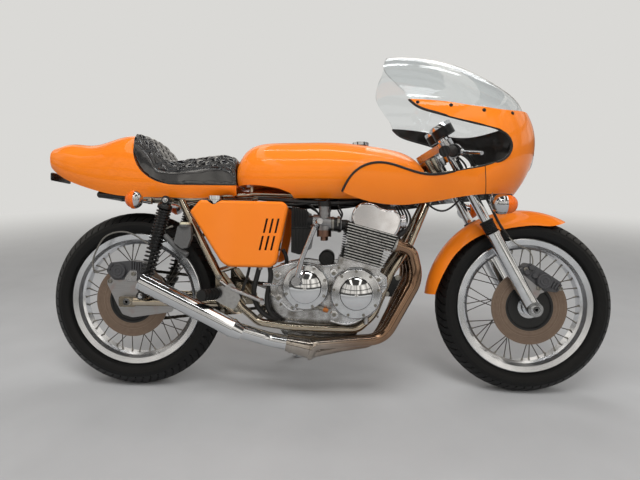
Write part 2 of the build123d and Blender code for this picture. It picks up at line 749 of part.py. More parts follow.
def cowl_form(inset, drop):
    """Outer form of the seat cowl, or of its inside when inset by the wall and dropped below."""
    table = [
        # x, base z, top z, share of the half width
        (-313 + inset * 1.6, 812, 896, 0.58),
        (-255, 771, 910, 0.73),
        (-190, 745, 906, 0.84),
        (-115, 723, 918, 0.94),
        (-30, 707, 941, 1.0),
        (60, 703, 922, 1.0),
        (160, 702, 892, 0.97),
        (270, 702, 874, 0.91),
        (389, 702, 860, 0.84),
    ]
    sections = [body_section(x, low - drop, high - inset, cowl_half_width * share - inset, 0.86)
                for x, low, high, share in table]
    return loft(sections)


def seat_cowl():
    """Tail hump and the tray under the pad, one moulding open below."""
    pad_edge = [(16, 903), (18, 868), (28, 832), (48, 798), (82, 770), (125, 752.5), (169, 748)]
    tray = shaped_plate([pad_edge, [(169, 748), (389, 748)], [(389, 748), (389, 640)], [(389, 640), (-340, 640)],
                         [(-340, 640), (-340, 1000)], [(-340, 1000), (16, 1000)], [(16, 1000), (16, 903)]],
                        -200, 200)
    hollow = side_plate([(-340, 600), (400, 600), (400, 738), (166, 738), (120, 742), (76, 761), (40, 790),
                         (19, 828), (9, 868), (6, 903), (6, 960), (-340, 960)], -200, 200)
    return (cowl_form(0, 0) & tray) - (cowl_form(panel_wall, 1) & hollow)


def seat_pad():
    """Padded seat: low saddle that climbs the hump behind."""
    back = [(16.3, 903), (18.3, 868.3), (28.3, 832.3), (48.3, 798.3), (82.3, 770.3), (125.3, 752.8), (169, 748.3)]
    top = [(389, 826), (380, 848), (345, 855), (293, 854), (216, 842), (164, 831), (138, 834), (117, 850),
           (91, 884), (59, 920), (33, 938), (17, 942)]
    pad = shaped_plate([back, [(169, 748.3), (389, 748.3)], [(389, 748.3), (389, 826)], top,
                        [(17, 942), (16.3, 903)]], -114, 114)
    return pad & pad_crown()


def pad_crown():
    """Rounded form across the pad, wide at the hump and narrow at the tank."""
    table = [
        # x, top z, half width
        (10, 962, 112),
        (90, 940, 114),
        (180, 872, 114),
        (300, 874, 108),
        (395, 868, 98),
    ]
    sections = []
    for x, high, half in table:
        plane = Plane(origin=(x, 0, 0), x_dir=(0, 1, 0), z_dir=(1, 0, 0))
        edges = [Line((-half, 740), (half, 740)), Line((half, 740), (half, high - 70)),
                 ThreePointArc((half, high - 70), (half * 0.72, high - 22), (0, high - 8)),
                 ThreePointArc((0, high - 8), (-half * 0.72, high - 22), (-half, high - 70)),
                 Line((-half, high - 70), (-half, 740))]
        sections.append(plane * make_face(edges))
    return loft(sections)


def side_panel(y_low, y_high, outer_y):
    """Side cover with round corners and a rounded outer edge."""
    corners = [(246, 648, 12), (281, 688, 16), (589, 684, 26), (543, 459, 34), (366, 459, 60)]
    panel = rounded_plate(corners, y_low, y_high)
    rim_edges = [edge for edge in panel.edges() if abs(edge.center().Y - outer_y) < 0.01]
    return fillet(rim_edges, 11)


def right_cover():
    """Oil tank behind the right side panel, with two rows of slanted slots."""
    shell = side_panel(-186, -140, -186)
    shell -= rod((330, -158, 676), (330, -158, 760), 29)
    for row_z, row_x in ((577, 500), (518, 486)):
        for number in range(3):
            x = row_x + number * 19.5
            shell -= side_plate([(x, row_z), (x + 7, row_z), (x + 18, row_z + 49), (x + 11, row_z + 49)], -190, -164)
    return shell


def left_cover():
    """Left side cover, the mirror of the right outline, without slots."""
    return side_panel(140, 186, 186)


# Fairing and screen
fairing_top = [(982, 1024), (1106, 1014), (1200, 998), (1300, 988), (1400, 1000), (1480, 1016)]
fairing_rows = [
    # z, nose x, shoulder x, share of the half width, share at the rear
    (655, 1330, 1180, 0.76, 0.70),
    (735, 1405, 1200, 0.94, 0.86),
    (830, 1454, 1222, 1.0, 0.94),
    (930, 1464, 1234, 1.0, 0.94),
    (1030, 1424, 1214, 0.92, 0.88),
]


def fairing_section(row, inset):
    """Plan section of the fairing: straight sides and a round nose, open to the rear."""
    z, nose, shoulder, share, rear_share = row
    w = fairing_half_width * share - inset
    rear_w = fairing_half_width * rear_share - inset
    rear_x = 740 - inset
    edges = [
        Line((rear_x, rear_w), (rear_x, -rear_w)),
        Line((rear_x, -rear_w), (shoulder, -w)),
        ThreePointArc((shoulder, -w), (nose - inset, 0), (shoulder, w)),
        Line((shoulder, w), (rear_x, rear_w)),
    ]
    return Pos(0, 0, z) * make_face(edges)


def fairing_form(inset):
    """Solid form of the fairing's outside, or of its inside when inset by the wall."""
    return loft([fairing_section(row, inset) for row in fairing_rows])


def fairing():
    """Half fairing: a thin shell with hand openings and a round nose."""
    opening = [(767, 718), (787, 757), (820, 792), (888, 813), (960, 798), (1045, 775), (1150, 786),
               (1262, 812), (1306, 836), (1319, 870), (1300, 905), (1225, 935), (1144, 956), (1065, 978),
               (1006, 1002), (982, 1024)]
    lower_edge = [(1480, 726), (1400, 724), (1300, 717), (1194, 708), (1055, 685), (955, 676), (855, 688), (767, 718)]
    keep = shaped_plate([opening, fairing_top, [(1480, 1016), (1480, 726)], lower_edge], -300, 300)
    shell = (fairing_form(0) - fairing_form(panel_wall)) & keep
    shell -= rod((1380, 0, 880), (1500, 0, 880), lamp_radius + face_gap)
    return Pos(front_shift, 0, 0) * shell


def screen_arch(x, top, grow):
    """Arched section of the screen: steep sides that turn into a flatter crown."""
    base = 978.0
    centre = 1208.0
    radius = fairing_half_width - 10
    reach = x - centre
    half = sqrt(max(radius ** 2 - max(reach, 0) ** 2, 400)) * (0.95 if reach < 0 else 0.98) - grow
    crown_half = half * 0.7
    crown_z = top - grow - (top - base) * 0.28
    plane = Plane(origin=(x, 0, 0), x_dir=(0, 1, 0), z_dir=(1, 0, 0))
    edges = [
        Line((-half, base), (half, base)),
        TangentArc((half, base), (crown_half, crown_z), tangent=(0, 1)),
        ThreePointArc((crown_half, crown_z), (0, top - grow), (-crown_half, crown_z)),
        TangentArc((-half, base), (-crown_half, crown_z), tangent=(0, 1)),
    ]
    return plane * make_face(edges)


def windscreen():
    """Clear bubble on the fairing's upper edge."""
    table = [(890, 1216), (985, 1230), (1104, 1217), (1199, 1187), (1300, 1130), (1384, 1072), (1428, 1012)]
    outer = loft([screen_arch(x, top, 0) for x, top in table])
    inner = loft([screen_arch(x, top, screen_wall) for x, top in table])
    rear_edge = [(927, 1300), (927, 1236), (924, 1206), (911, 1178), (906, 1152), (912, 1126), (942, 1084),
                 (974, 1044), (982, 1024)]
    keep = shaped_plate([rear_edge[:2], rear_edge[1:], fairing_top, [(1480, 1016), (1480, 1300)],
                         [(1480, 1300), (927, 1300)]], -300, 300)
    return Pos(front_shift, 0, 0) * ((outer - inner) & keep)


def headlamp():
    """Round headlamp flush in the nose."""
    lamp = rod((1395, 0, 880), (1448, 0, 880), lamp_radius)
    rim_r, rim_h = cap_middle(lamp_radius, 10)
    lens = [Line((0, -2), (0, 11)), ThreePointArc((0, 11), (rim_r, 1 + rim_h), (lamp_radius, 1)),
            Line((lamp_radius, 1), (lamp_radius, -2)), Line((lamp_radius, -2), (0, -2))]
    glass = Plane(origin=(1448, 0, 880), x_dir=(0, -1, 0), z_dir=(0, 0, 1)) * revolve(make_face(lens), Axis.Y, 360)
    return Pos(front_shift, 0, 0) * (lamp + glass)


def tail_light():
    """Small round lamp on the tail's end, over a plain number bracket."""
    seat = -313 - face_gap
    lamp = lamp_bowl(Vector(seat - 4, 0, 811.5), -1, 18, 4, 8.7)
    plane = Plane(origin=(seat, 0, 0), x_dir=(0, -1, 0), z_dir=(-1, 0, 0))
    plate = rounded_face([(-60, 766, 6), (60, 766, 6), (60, 796, 6), (14, 796, 2), (14, 806, 2), (-14, 806, 2),
                          (-14, 796, 2), (-60, 796, 6)])
    bracket = extrude(plane * plate, 5)
    for side in (-1, 1):
        spot = side * plate_hole_spacing / 2
        bracket -= rod((-340, spot, 778), (-300, spot, 778), 3.5)
    return lamp + bracket


def turn_signals():
    """Four lamps on stems: the rear pair on the seat rail, the front pair on the fairing."""
    shapes = []
    wall = Pos(front_shift, 0, 0) * (fairing_form(0) - fairing_form(panel_wall + face_gap))
    front_y = fairing_half_width - 27
    front_x = 1300 + front_shift
    for side in (-1, 1):
        rear = rod((74, side * (102 + face_gap), 684), (74, side * 190, 684), 6)
        rear += lamp_bowl(Vector(63, side * 205, 685), -1, 31, 31, 24)
        stem = rod((front_x - 32, side * (front_y - 34), 682), (front_x - 32, side * front_y, 682), 6)
        tab = rod((front_x - 32, side * (front_y - 32), 684), (front_x - 38, side * (front_y - 9), 730), 5)
        lamp = lamp_bowl(Vector(front_x, side * front_y, 679), 1, 33, 42, 40)
        shapes += [rear, (stem + tab) - wall + lamp]
    return Compound(children=[s for shape in shapes for s in shape.solids()])


# Rider's controls and brakes on the chassis
def footrests():
    """Rubber pegs with hanger plates and pedals, both sides."""
    inner = -rail_half_spacing - frame_tube_radius - face_gap
    hanger = rounded_plate([(316, 346, 14), (330, 384, 14), (388, 402, 14), (418, 350, 14), (396, 306, 14),
                            (352, 326, 24)], inner - 6, inner)
    root = Vector(338, inner, 363)
    tip = Vector(305, inner - 95.7, 367.6)
    along = (tip - root).normalized()
    peg = rod(root, tip, 8) + rod(root + along * 16, tip, 18)
    for step in (20, 38, 56, 74, 92):
        peg += rod(root + along * step, root + along * (step + 5), 20)
    pedal_y = inner - 11
    pedal = bent_tube([(347, pedal_y, 407), (376, pedal_y, 386), (440, pedal_y - 1, 361), (497, pedal_y - 8, 340)],
                      [12, 60], 7)
    toe = rod((492, pedal_y + 6, 342), (500, pedal_y - 34, 339), 8)
    pivot = rod((376, inner - 3, 386), (376, pedal_y - 9, 386), 10)
    return both_sides(hanger + peg + pedal + toe + pivot)


def rear_caliper():
    """Plate carried by the rear axle, with the caliper that straddles the disc."""
    y_disc = -65.0
    plate = rounded_plate([(-87, 387, 10), (-76, 410, 12), (2, 442, 12), (26, 430, 8), (26, 397, 20), (62, 382, 20),
                           (160, 300, 8), (152, 286, 8), (8, 264, 30), (-29, 275, 16), (-50, 312, 24)], -87, -80)
    plate -= rod((0, -100, rear_axle.Z), (0, -70, rear_axle.Z), 14.3)
    body = rounded_plate([(-88, 433, 14), (-72, 464, 12), (3, 472, 20), (48, 465, 14), (65, 435, 14), (42, 404, 12),
                          (-57, 400, 14)], -94, -38)
    body += rod((-38, -90, 434), (-38, -99, 434), 25) + rod((-38, -99, 434), (-38, -102, 434), 19)
    body -= rod((0, y_disc - 9, rear_axle.Z), (0, y_disc + 9, rear_axle.Z), disc_radius + 8)
    return plate + body


def master_cylinder():
    """Rear brake master cylinder with its reservoir."""
    body = rounded_plate([(181, 541, 8), (194, 598, 4), (241, 598, 4), (241.5, 556, 10), (228, 522, 6),
                          (208, 519, 6)], -150, -128)
    return body + rod((218, -139, 596), (218, -139, 604), 21) + rod((218, -139, 604), (218, -139, 612), 19)


# Steering group
def fork_yokes():
    """Upper and lower yokes with the steering stem."""
    whole = None
    for at in (lower_yoke_at, upper_yoke_at):
        for side in (-1, 1):
            eye = rod(along_fork(at, 0, side * fork_half_spacing),
                      along_fork(at + yoke_thickness, 0, side * fork_half_spacing), slider_radius + 3)
            whole = eye if whole is None else whole + eye
        hub_eye = rod(along_fork(at, -yoke_offset), along_fork(at + yoke_thickness, -yoke_offset), 30)
        whole += hub_eye
        plane = Plane(origin=along_fork(at), x_dir=(0, -1, 0), z_dir=along_fork(1) - along_fork(0))
        web = make_face(Polyline((-fork_half_spacing, 20), (fork_half_spacing, 20), (fork_half_spacing, -20),
                                 (30, -yoke_offset - 20), (-30, -yoke_offset - 20), (-fork_half_spacing, -20),
                                 close=True))
        low = extrude(plane * web, yoke_thickness)
        whole += low
    stem = rod(along_fork(lower_yoke_at, -yoke_offset), along_fork(upper_yoke_at + yoke_thickness, -yoke_offset), 13)
    whole += stem
    for side in (-1, 1):
        whole -= rod(along_fork(lower_yoke_at - 10, 0, side * fork_half_spacing),
                     along_fork(upper_yoke_at + 60, 0, side * fork_half_spacing), stanchion_radius + running_gap)
    return whole


def fork_legs():
    """Two telescopic legs with rubber boots, and the bosses of the front axle at their ends."""
    whole = None
    for side in (-1, 1):
        y = side * fork_half_spacing
        leg = rod(along_fork(slider_top, 0, y), along_fork(upper_yoke_at + yoke_thickness + 10, 0, y), stanchion_radius)
        leg += rod(along_fork(0, 0, y), along_fork(slider_top, 0, y), slider_radius)
        leg += rod(along_fork(slider_top, 0, y), along_fork(slider_top + 12, 0, y), slider_radius + 2)
        leg += rod(along_fork(slider_top + 12, 0, y), along_fork(slider_top + 52, 0, y), slider_radius - 2)
        leg += rod(along_fork(slider_top + 52, 0, y), along_fork(slider_top + 58, 0, y), slider_radius)
        leg += rod(front_axle_centre + Vector(0, y - axle_boss, 0), front_axle_centre + Vector(0, y + axle_boss, 0), 26)
        whole = leg if whole is None else whole + leg
    return whole - rod(front_axle_centre - Vector(0, 200, 0), front_axle_centre + Vector(0, 200, 0),
                       axle_radius + running_gap)


def front_fender():
    """Deep round blade over the front tyre, with a lug to each fork leg."""
    crown = front_tyre_radius + 30
    half = 62.0
    wall = 3.5
    edges = [
        ThreePointArc((crown - half, -half), (crown, 0), (crown - half, half)),
        Line((crown - half, half), (crown - half, half - wall)),
        ThreePointArc((crown - half, half - wall), (crown - wall, 0), (crown - half, wall - half)),
        Line((crown - half, wall - half), (crown - half, -half)),
    ]
    blade = revolve(make_face(edges), Axis.Y, 360)
    # lower edge, from the square tail to the pointed front, about the axle
    lower = [(-332, 39), (-300, 124), (-251, 199), (-183, 251), (-88, 280), (-7, 293), (107, 297), (167, 318)]
    keep = shaped_plate([lower, [(167, 318), (220, 460)], [(220, 460), (-460, 460)], [(-460, 460), (-369, 37)],
                         [(-369, 37), (-332, 39)]], -80, 80)
    blade = Pos(-12, 0, 2) * blade & keep
    shape = Pos(*front_axle_centre) * blade
    for side in (-1, 1):
        low = along_fork(266, 0, side * (half - 1))
        plane = Plane(origin=low, x_dir=(0, 1, 0), z_dir=along_fork(1) - along_fork(0))
        shape += extrude(plane * Rectangle(5, 26), 66)
        shape += rod(along_fork(282, 0, side * half),
                     along_fork(282, 0, side * (fork_half_spacing - slider_radius - face_gap)), 9)
    return shape


def handlebars():
    """Clip-on bars with grips and levers."""
    whole = None
    for side in (-1, 1):
        y = side * fork_half_spacing
        clamp = rod(along_fork(upper_yoke_at - 46, 0, y), along_fork(upper_yoke_at - 12, 0, y), slider_radius + 4)
        clamp -= rod(along_fork(upper_yoke_at - 60, 0, y), along_fork(upper_yoke_at, 0, y), stanchion_radius + running_gap)
        base = along_fork(upper_yoke_at - 29, 36, y)
        end = Vector(1075 + front_shift, side * 330, 829)
        bar = rod(base, end, bar_radius)
        reach = end - base
        grip = rod(base + reach * 0.52, end + reach * 0.02, grip_radius)
        grip += rod(base + reach * 0.505, base + reach * 0.525, grip_radius + 4)
        housing = rod(base + reach * 0.36, base + reach * 0.48, 23)
        lever_root = base + reach * 0.42 + Vector(30, 0, -4)
        lever = rod(lever_root, Vector(1190 + front_shift, side * 318, 826), 6)
        bracket = rod(base + reach * 0.42, lever_root, 9)
        unit = clamp + bar + grip + housing + bracket + lever
        whole = unit if whole is None else whole + unit
    return Compound(children=whole.solids())


def instruments():
    """Two round dials on the upper yoke."""
    shapes = None
    for side in (-1, 1):
        back = along_fork(upper_yoke_at + yoke_thickness + face_gap, 30, side * 46)
        top = along_fork(upper_yoke_at + yoke_thickness + 60, 30, side * 46)
        dial = rod(back, back + (top - back) * 0.3, 10) + rod(back + (top - back) * 0.3, top, 39)
        shapes = dial if shapes is None else shapes + dial
    return shapes


def front_caliper():
    """Caliper ahead of the right fork leg, on two arms bolted to it."""
    y_disc = -66.0
    block = [(-33, 144, 8), (-9, 161, 12), (39, 132, 30), (103, 91, 14), (88, 57, 12), (40, 62, 12), (-20, 110, 10)]
    arms = [(-61, 132, 4), (-33, 144, 8), (30, 124, 10), (60, 66, 10), (25, 52, 10), (14, 34, 5), (-14, 38, 5),
            (-33, 80, 10)]
    body = rounded_plate([(front_axle_centre.X + x, front_axle_centre.Z + z, r) for x, z, r in block],
                         y_disc - 28, y_disc + 26)
    body += rounded_plate([(front_axle_centre.X + x, front_axle_centre.Z + z, r) for x, z, r in arms],
                          y_disc - 28, y_disc - 10)
    piston = front_axle_centre + Vector(37, y_disc - 26, 97.5)
    body += rod(piston, piston - Vector(0, 9, 0), 27) + rod(piston, piston - Vector(0, 12, 0), 20)
    body -= rod(front_axle_centre + Vector(0, y_disc - 9, 0), front_axle_centre + Vector(0, y_disc + 9, 0),
                disc_radius + 8)
    body -= rod(along_fork(0, 0, -fork_half_spacing), along_fork(slider_top, 0, -fork_half_spacing),
                slider_radius + face_gap)
    return body


def side_stand():
    """Prop stand on the left, its foot flat on the ground."""
    axis = stand_hinge_axis()
    leg = rod(stand_pivot, stand_foot(), 9)
    pad = rod(above_ground(590, 262, 0), above_ground(590, 262, 8), 24)
    eye = rod(stand_pivot - axis * 10, stand_pivot + axis * 10, 14)
    return leg + pad + eye - rod(stand_pivot - axis * 30, stand_pivot + axis * 30, 6 + running_gap)


def at_centre(shape, centre):
    """Piece modelled about the origin, moved to a wheel's centre."""
    return Pos(*centre) * shape


nodes = {
    "frame": frame(),
    "swingarm": swingarm(),
    "rear_shocks": rear_shocks(),
    "crankcase": crankcase(),
    "cylinder_block": cylinder_block(),
    "cylinder_head": cylinder_head(),
    "cam_cover": cam_cover(),
    "engine_covers": engine_covers(),
    "carburettors": carburettors(),
    "airbox": airbox(),
    "exhaust_headers": exhaust_headers(),
    "silencer": silencer(),
    "kick_starter": kick_starter(),
    "drive_chain": drive_chain(),
    "fuel_tank": fuel_tank(),
    "filler_caps": filler_caps(),
    "seat_cowl": seat_cowl(),
    "seat_pad": seat_pad(),
    "oil_tank": right_cover(),
    "left_side_cover": left_cover(),
    "fairing": fairing(),
    "windscreen": windscreen(),
    "headlamp": headlamp(),
    "tail_light": tail_light(),
    "turn_signals": turn_signals(),
    "footrests": footrests(),
    "rear_caliper": rear_caliper(),
    "master_cylinder": master_cylinder(),
    "fork_yokes": fork_yokes(),
    "fork_legs": fork_legs(),
    "front_fender": front_fender(),
    "handlebars": handlebars(),
    "instruments": instruments(),
    "front_caliper": front_caliper(),
    "side_stand": side_stand(),
    "front_axle": axle_tube(front_axle_centre, fork_half_spacing + axle_boss + axle_head + face_gap, 66,
                            fork_half_spacing - axle_boss),
    "rear_axle": axle_tube(rear_axle, 112 + axle_head + face_gap, 78, 96),
    "front_tyre": at_centre(tyre(front_tyre_radius, front_tyre_half_width), front_axle_centre),
    "front_rim": at_centre(rim(), front_axle_centre),
    "front_spokes": at_centre(spokes(52, 30), front_axle_centre),
    "front_hub": at_centre(hub(52, 30, -66, 66), front_axle_centre),
    "front_disc": at_centre(disc(40 + running_gap, -66, -64), front_axle_centre),
    "rear_tyre": at_centre(tyre(rear_tyre_radius, rear_tyre_half_width), rear_axle),
    "rear_rim": at_centre(rim(), rear_axle),
    "rear_spokes": at_centre(spokes(60, 32), rear_axle),
    "rear_hub": at_centre(hub(60, 32, -78, 78), rear_axle),
    "rear_sprocket": at_centre(sprocket(), rear_axle),
    "rear_disc": at_centre(disc(48 + running_gap, -65, -64), rear_axle),
}

# Lean the machine onto its stand and put the origin under the middle of its box
leaned = {name: shape.rotate(Axis.X, -lean) for name, shape in nodes.items()}
boxes = [shape.bounding_box() for shape in leaned.values()]
low = [min(getattr(b.min, axis) for b in boxes) for axis in "XYZ"]
high = [max(getattr(b.max, axis) for b in boxes) for axis in "XYZ"]
origin_shift = Vector(-(low[0] + high[0]) / 2, -(low[1] + high[1]) / 2, -low[2])
os.makedirs("parts", exist_ok=True)
for name, shape in leaned.items():
    export_step(shape.moved(Location(origin_shift)), f"parts/{name}.step")
print("origin shift", [round(v, 3) for v in tuple(origin_shift)], "size", [round(b - a, 1) for a, b in zip(low, high)])
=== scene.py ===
"""Cafe racer motorcycle on its side stand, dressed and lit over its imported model."""
import json
import math

import bmesh
import bpy
import numpy as np
from mathutils import Matrix, Vector
from mathutils.bvhtree import BVHTree

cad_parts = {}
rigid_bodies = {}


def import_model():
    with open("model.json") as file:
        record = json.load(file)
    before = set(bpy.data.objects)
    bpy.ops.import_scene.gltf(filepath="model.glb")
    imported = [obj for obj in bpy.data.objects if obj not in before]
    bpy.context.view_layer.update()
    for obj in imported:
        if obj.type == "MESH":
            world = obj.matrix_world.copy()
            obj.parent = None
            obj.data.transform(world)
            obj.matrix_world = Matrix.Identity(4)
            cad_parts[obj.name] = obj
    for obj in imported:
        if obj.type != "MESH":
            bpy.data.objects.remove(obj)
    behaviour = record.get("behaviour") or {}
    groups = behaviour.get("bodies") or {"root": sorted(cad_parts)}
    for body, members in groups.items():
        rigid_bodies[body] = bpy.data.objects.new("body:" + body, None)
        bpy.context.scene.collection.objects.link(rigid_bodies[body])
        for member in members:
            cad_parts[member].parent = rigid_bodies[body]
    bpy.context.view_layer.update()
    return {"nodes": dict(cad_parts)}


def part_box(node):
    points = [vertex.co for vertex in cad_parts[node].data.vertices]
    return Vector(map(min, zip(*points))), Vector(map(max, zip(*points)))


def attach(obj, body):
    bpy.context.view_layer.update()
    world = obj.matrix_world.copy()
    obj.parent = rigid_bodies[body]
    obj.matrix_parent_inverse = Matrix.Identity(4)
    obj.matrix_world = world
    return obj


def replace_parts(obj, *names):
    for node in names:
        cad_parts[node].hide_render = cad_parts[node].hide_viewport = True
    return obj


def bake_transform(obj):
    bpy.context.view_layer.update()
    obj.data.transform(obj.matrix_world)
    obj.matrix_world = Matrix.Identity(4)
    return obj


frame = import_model()
node_of = frame["nodes"]

# Camera
# The camera stands about 1.6 m from the right side, a little behind the middle, and looks slightly down.
# The machine leans 10 degrees onto its stand, so its own frame is turned about the line of the wheels.
lean = math.radians(10.0)
rear_axle_height = 325.0
rear_axle = np.mean(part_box("rear_tyre"), axis=0)
lean_turn = np.array([
    [1, 0, 0],
    [0, math.cos(lean), math.sin(lean)],
    [0, -math.sin(lean), math.cos(lean)],
])
ground_under_rear = rear_axle - lean_turn @ (0, 0, rear_axle_height / 1000)


def on_bike(points):
    """Points in mm of the upright machine (ahead of the rear axle, left, up), as metres of the leaned one."""
    return np.asarray(points, float) / 1000 @ lean_turn.T + ground_under_rear


def off_bike(points):
    """The reverse: metres of the leaned machine as mm of the upright one."""
    return (np.asarray(points, float) - ground_under_rear) @ lean_turn * 1000


camera_spot = rear_axle + np.array([0.745, -1.6394, 0.5339])
pitch, yaw, roll = (math.radians(angle) for angle in (10.42, 1.93, 0.25))
lens_pixels = 450.0
image_width = 640.0
sensor_mm = 36.0

aim = Vector((-math.sin(yaw) * math.cos(pitch), math.cos(yaw) * math.cos(pitch), -math.sin(pitch)))
level_right = Vector((math.cos(yaw), math.sin(yaw), 0))
level_up = level_right.cross(aim)
right = level_right * math.cos(roll) + level_up * math.sin(roll)
up = level_up * math.cos(roll) - level_right * math.sin(roll)
camera_data = bpy.data.cameras.new("camera")
camera_data.sensor_width = sensor_mm
camera_data.lens = lens_pixels / image_width * sensor_mm
camera = bpy.data.objects.new("camera", camera_data)
turn = Matrix((right, up, -aim)).transposed()
camera.matrix_world = Matrix.Translation(camera_spot) @ turn.to_4x4()
bpy.context.collection.objects.link(camera)
bpy.context.scene.camera = camera
bpy.context.scene.view_settings.view_transform = "Standard"


# Studio
# A pale floor that fades into a pale background, lit by three softboxes and by two strips that metal mirrors.
# Only reflections see a hall: lit walls under a dark roof with skylights, which give bright metal contrast.
def linear(code):
    """Linear colour of an sRGB hex code."""
    value = np.array([int(code[i:i + 2], 16) for i in (1, 3, 5)]) / 255
    low = value / 12.92
    high = ((value + 0.055) / 1.055) ** 2.4
    return (*np.where(value <= 0.04045, low, high), 1.0)


def put(tree, kind, inputs=None, **settings):
    """Adds a shader node: inputs are numbers, colours or sockets to link; settings are its properties."""
    made = tree.nodes.new("ShaderNode" + kind)
    for name, value in settings.items():
        setattr(made, name, value)
    for key, value in (inputs or {}).items():
        if isinstance(value, bpy.types.NodeSocket):
            tree.links.new(value, made.inputs[key])
        else:
            made.inputs[key].default_value = value
    return made


def finish(name):
    """A new material: its node tree and the place on the upright machine, in mm, as a socket."""
    tree = bpy.data.materials.new(name)
    tree.use_nodes = True
    tree = tree.node_tree
    tree.nodes.clear()
    spot = put(tree, "TexCoord").outputs["Object"]
    place = put(tree, "Mapping", {"Vector": spot, "Location": ground_under_rear, "Rotation": (-lean, 0, 0),
                                  "Scale": (0.001, 0.001, 0.001)}, vector_type="TEXTURE")
    return tree, place.outputs[0]


def grid(points, close_rows=False, close_columns=False):
    """Points (rows, columns, 3) as a flat list with the quads between neighbours."""
    rows, columns = points.shape[:2]
    index = np.arange(rows * columns).reshape(rows, columns)
    if close_rows:
        index = np.vstack([index, index[:1]])
    if close_columns:
        index = np.hstack([index, index[:, :1]])
    quads = np.stack([index[:-1, :-1], index[:-1, 1:], index[1:, 1:], index[1:, :-1]], axis=-1)
    return points.reshape(-1, 3), quads.reshape(-1, 4)


def surface(name, points, finish_name):
    """Mesh object through points (rows, columns, 3) in metres, closed round its columns."""
    flat, quads = grid(points, close_columns=True)
    mesh = bpy.data.meshes.new(name)
    mesh.from_pydata(flat.tolist(), [], quads.tolist())
    mesh.shade_smooth()
    mesh.materials.append(bpy.data.materials[finish_name])
    made = bpy.data.objects.new(name, mesh)
    bpy.context.collection.objects.link(made)
    return made


background = linear("#DAD9D6")
floor_radius = 40.0
fade_start, fade_end = 2.2, 7.0
wall_dim, wall_bright = 0.26, 1.2
girder_height, skylight_rows = 0.31, 1.3
skylight_strength, roof_strength, ambient_strength = 1.9, 0.07, 0.27

tree, place = finish("studio_floor")
spot = put(tree, "TexCoord").outputs["Object"]
distance = put(tree, "VectorMath", {0: spot}, operation="LENGTH").outputs["Value"]
fade = put(tree, "MapRange", {"Value": distance, "From Min": fade_start, "From Max": fade_end},
           interpolation_type="SMOOTHSTEP").outputs[0]
speckle = put(tree, "TexNoise", {"Vector": place, "Scale": 1 / 220, "Detail": 5.0}).outputs[0]
tone = put(tree, "MapRange", {"Value": speckle, "To Min": 0.46, "To Max": 0.54}).outputs[0]
ground = put(tree, "BsdfPrincipled", {"Base Color": tone, "Roughness": 0.55, "Specular IOR Level": 0.3})
glow = put(tree, "Emission", {"Color": background})
both = put(tree, "MixShader", {0: fade, 1: ground.outputs[0], 2: glow.outputs[0]})
put(tree, "OutputMaterial", {"Surface": both.outputs[0]})

ring = np.array([0.0001, 0.5, 1, 2, 3, 4, 6, 8, 12, floor_radius])[:, None]
around = np.linspace(0, 2 * math.pi, 48, endpoint=False)[None]
floor_points = np.stack([ring * np.cos(around), ring * np.sin(around), 0 * ring * around], axis=-1)
surface("studio_floor", floor_points, "studio_floor")

world = bpy.data.worlds.new("studio")
bpy.context.scene.world = world
world.use_nodes = True
tree = world.node_tree
tree.nodes.clear()
heading = put(tree, "SeparateXYZ", {0: put(tree, "TexCoord").outputs["Generated"]}).outputs
# the hall in reflections: uneven walls up to about 40 degrees, a girder across them, then rows of skylights
around_hall = put(tree, "Math", {0: heading["Y"], 1: heading["X"]}, operation="ARCTAN2").outputs[0]
walls = put(tree, "TexNoise", {"W": around_hall, "Scale": 3.4, "Detail": 3.0},
            noise_dimensions="1D").outputs[0]
walls = put(tree, "MapRange", {"Value": walls, "From Min": 0.4, "From Max": 0.58, "To Min": wall_dim,
                             "To Max": wall_bright})
low_edge = put(tree, "MapRange", {"Value": heading["Z"], "From Min": 0.07, "From Max": 0.13},
               interpolation_type="SMOOTHSTEP")
high_edge = put(tree, "MapRange", {"Value": heading["Z"], "From Min": 0.56, "From Max": 0.63, "To Min": 1.0,
                                   "To Max": 0.0}, interpolation_type="SMOOTHSTEP")
lit_wall = put(tree, "Math", {0: low_edge.outputs[0], 1: high_edge.outputs[0]},
               operation="MULTIPLY").outputs[0]
lit_wall = put(tree, "Math", {0: lit_wall, 1: walls.outputs[0]}, operation="MULTIPLY").outputs[0]
girder = put(tree, "Math", {0: heading["Z"], 1: girder_height, 2: 0.03}, operation="COMPARE").outputs[0]
girder = put(tree, "Math", {0: girder, 1: -0.8, 2: 1.0}, operation="MULTIPLY_ADD").outputs[0]
lit_wall = put(tree, "Math", {0: lit_wall, 1: girder}, operation="MULTIPLY").outputs[0]
roof_way = put(tree, "Math", {0: heading["X"], 1: heading["Z"]}, operation="DIVIDE").outputs[0]
row = put(tree, "Math", {0: roof_way, 1: skylight_rows}, operation="MULTIPLY").outputs[0]
row = put(tree, "Math", {0: row}, operation="FRACT").outputs[0]
skylight = put(tree, "Math", {0: row, 1: 0.5, 2: 0.11}, operation="COMPARE").outputs[0]
roof = put(tree, "Math", {0: 1.0, 1: high_edge.outputs[0]}, operation="SUBTRACT").outputs[0]
skylight = put(tree, "Math", {0: skylight, 1: roof}, operation="MULTIPLY").outputs[0]
level = put(tree, "Math", {0: skylight, 1: skylight_strength, 2: roof_strength},
            operation="MULTIPLY_ADD").outputs[0]
level = put(tree, "Math", {0: level, 1: lit_wall}, operation="ADD").outputs[0]
hall = put(tree, "Background", {"Color": linear("#F7F1E8"), "Strength": level})
ray = put(tree, "LightPath")
seen = put(tree, "Math", {0: ray.outputs["Is Camera Ray"], 1: ray.outputs["Is Transmission Ray"]},
           operation="MAXIMUM").outputs[0]
ambient = put(tree, "Background", {"Color": (1, 1, 1, 1), "Strength": ambient_strength})
shown = put(tree, "Background", {"Color": background, "Strength": 1.0})
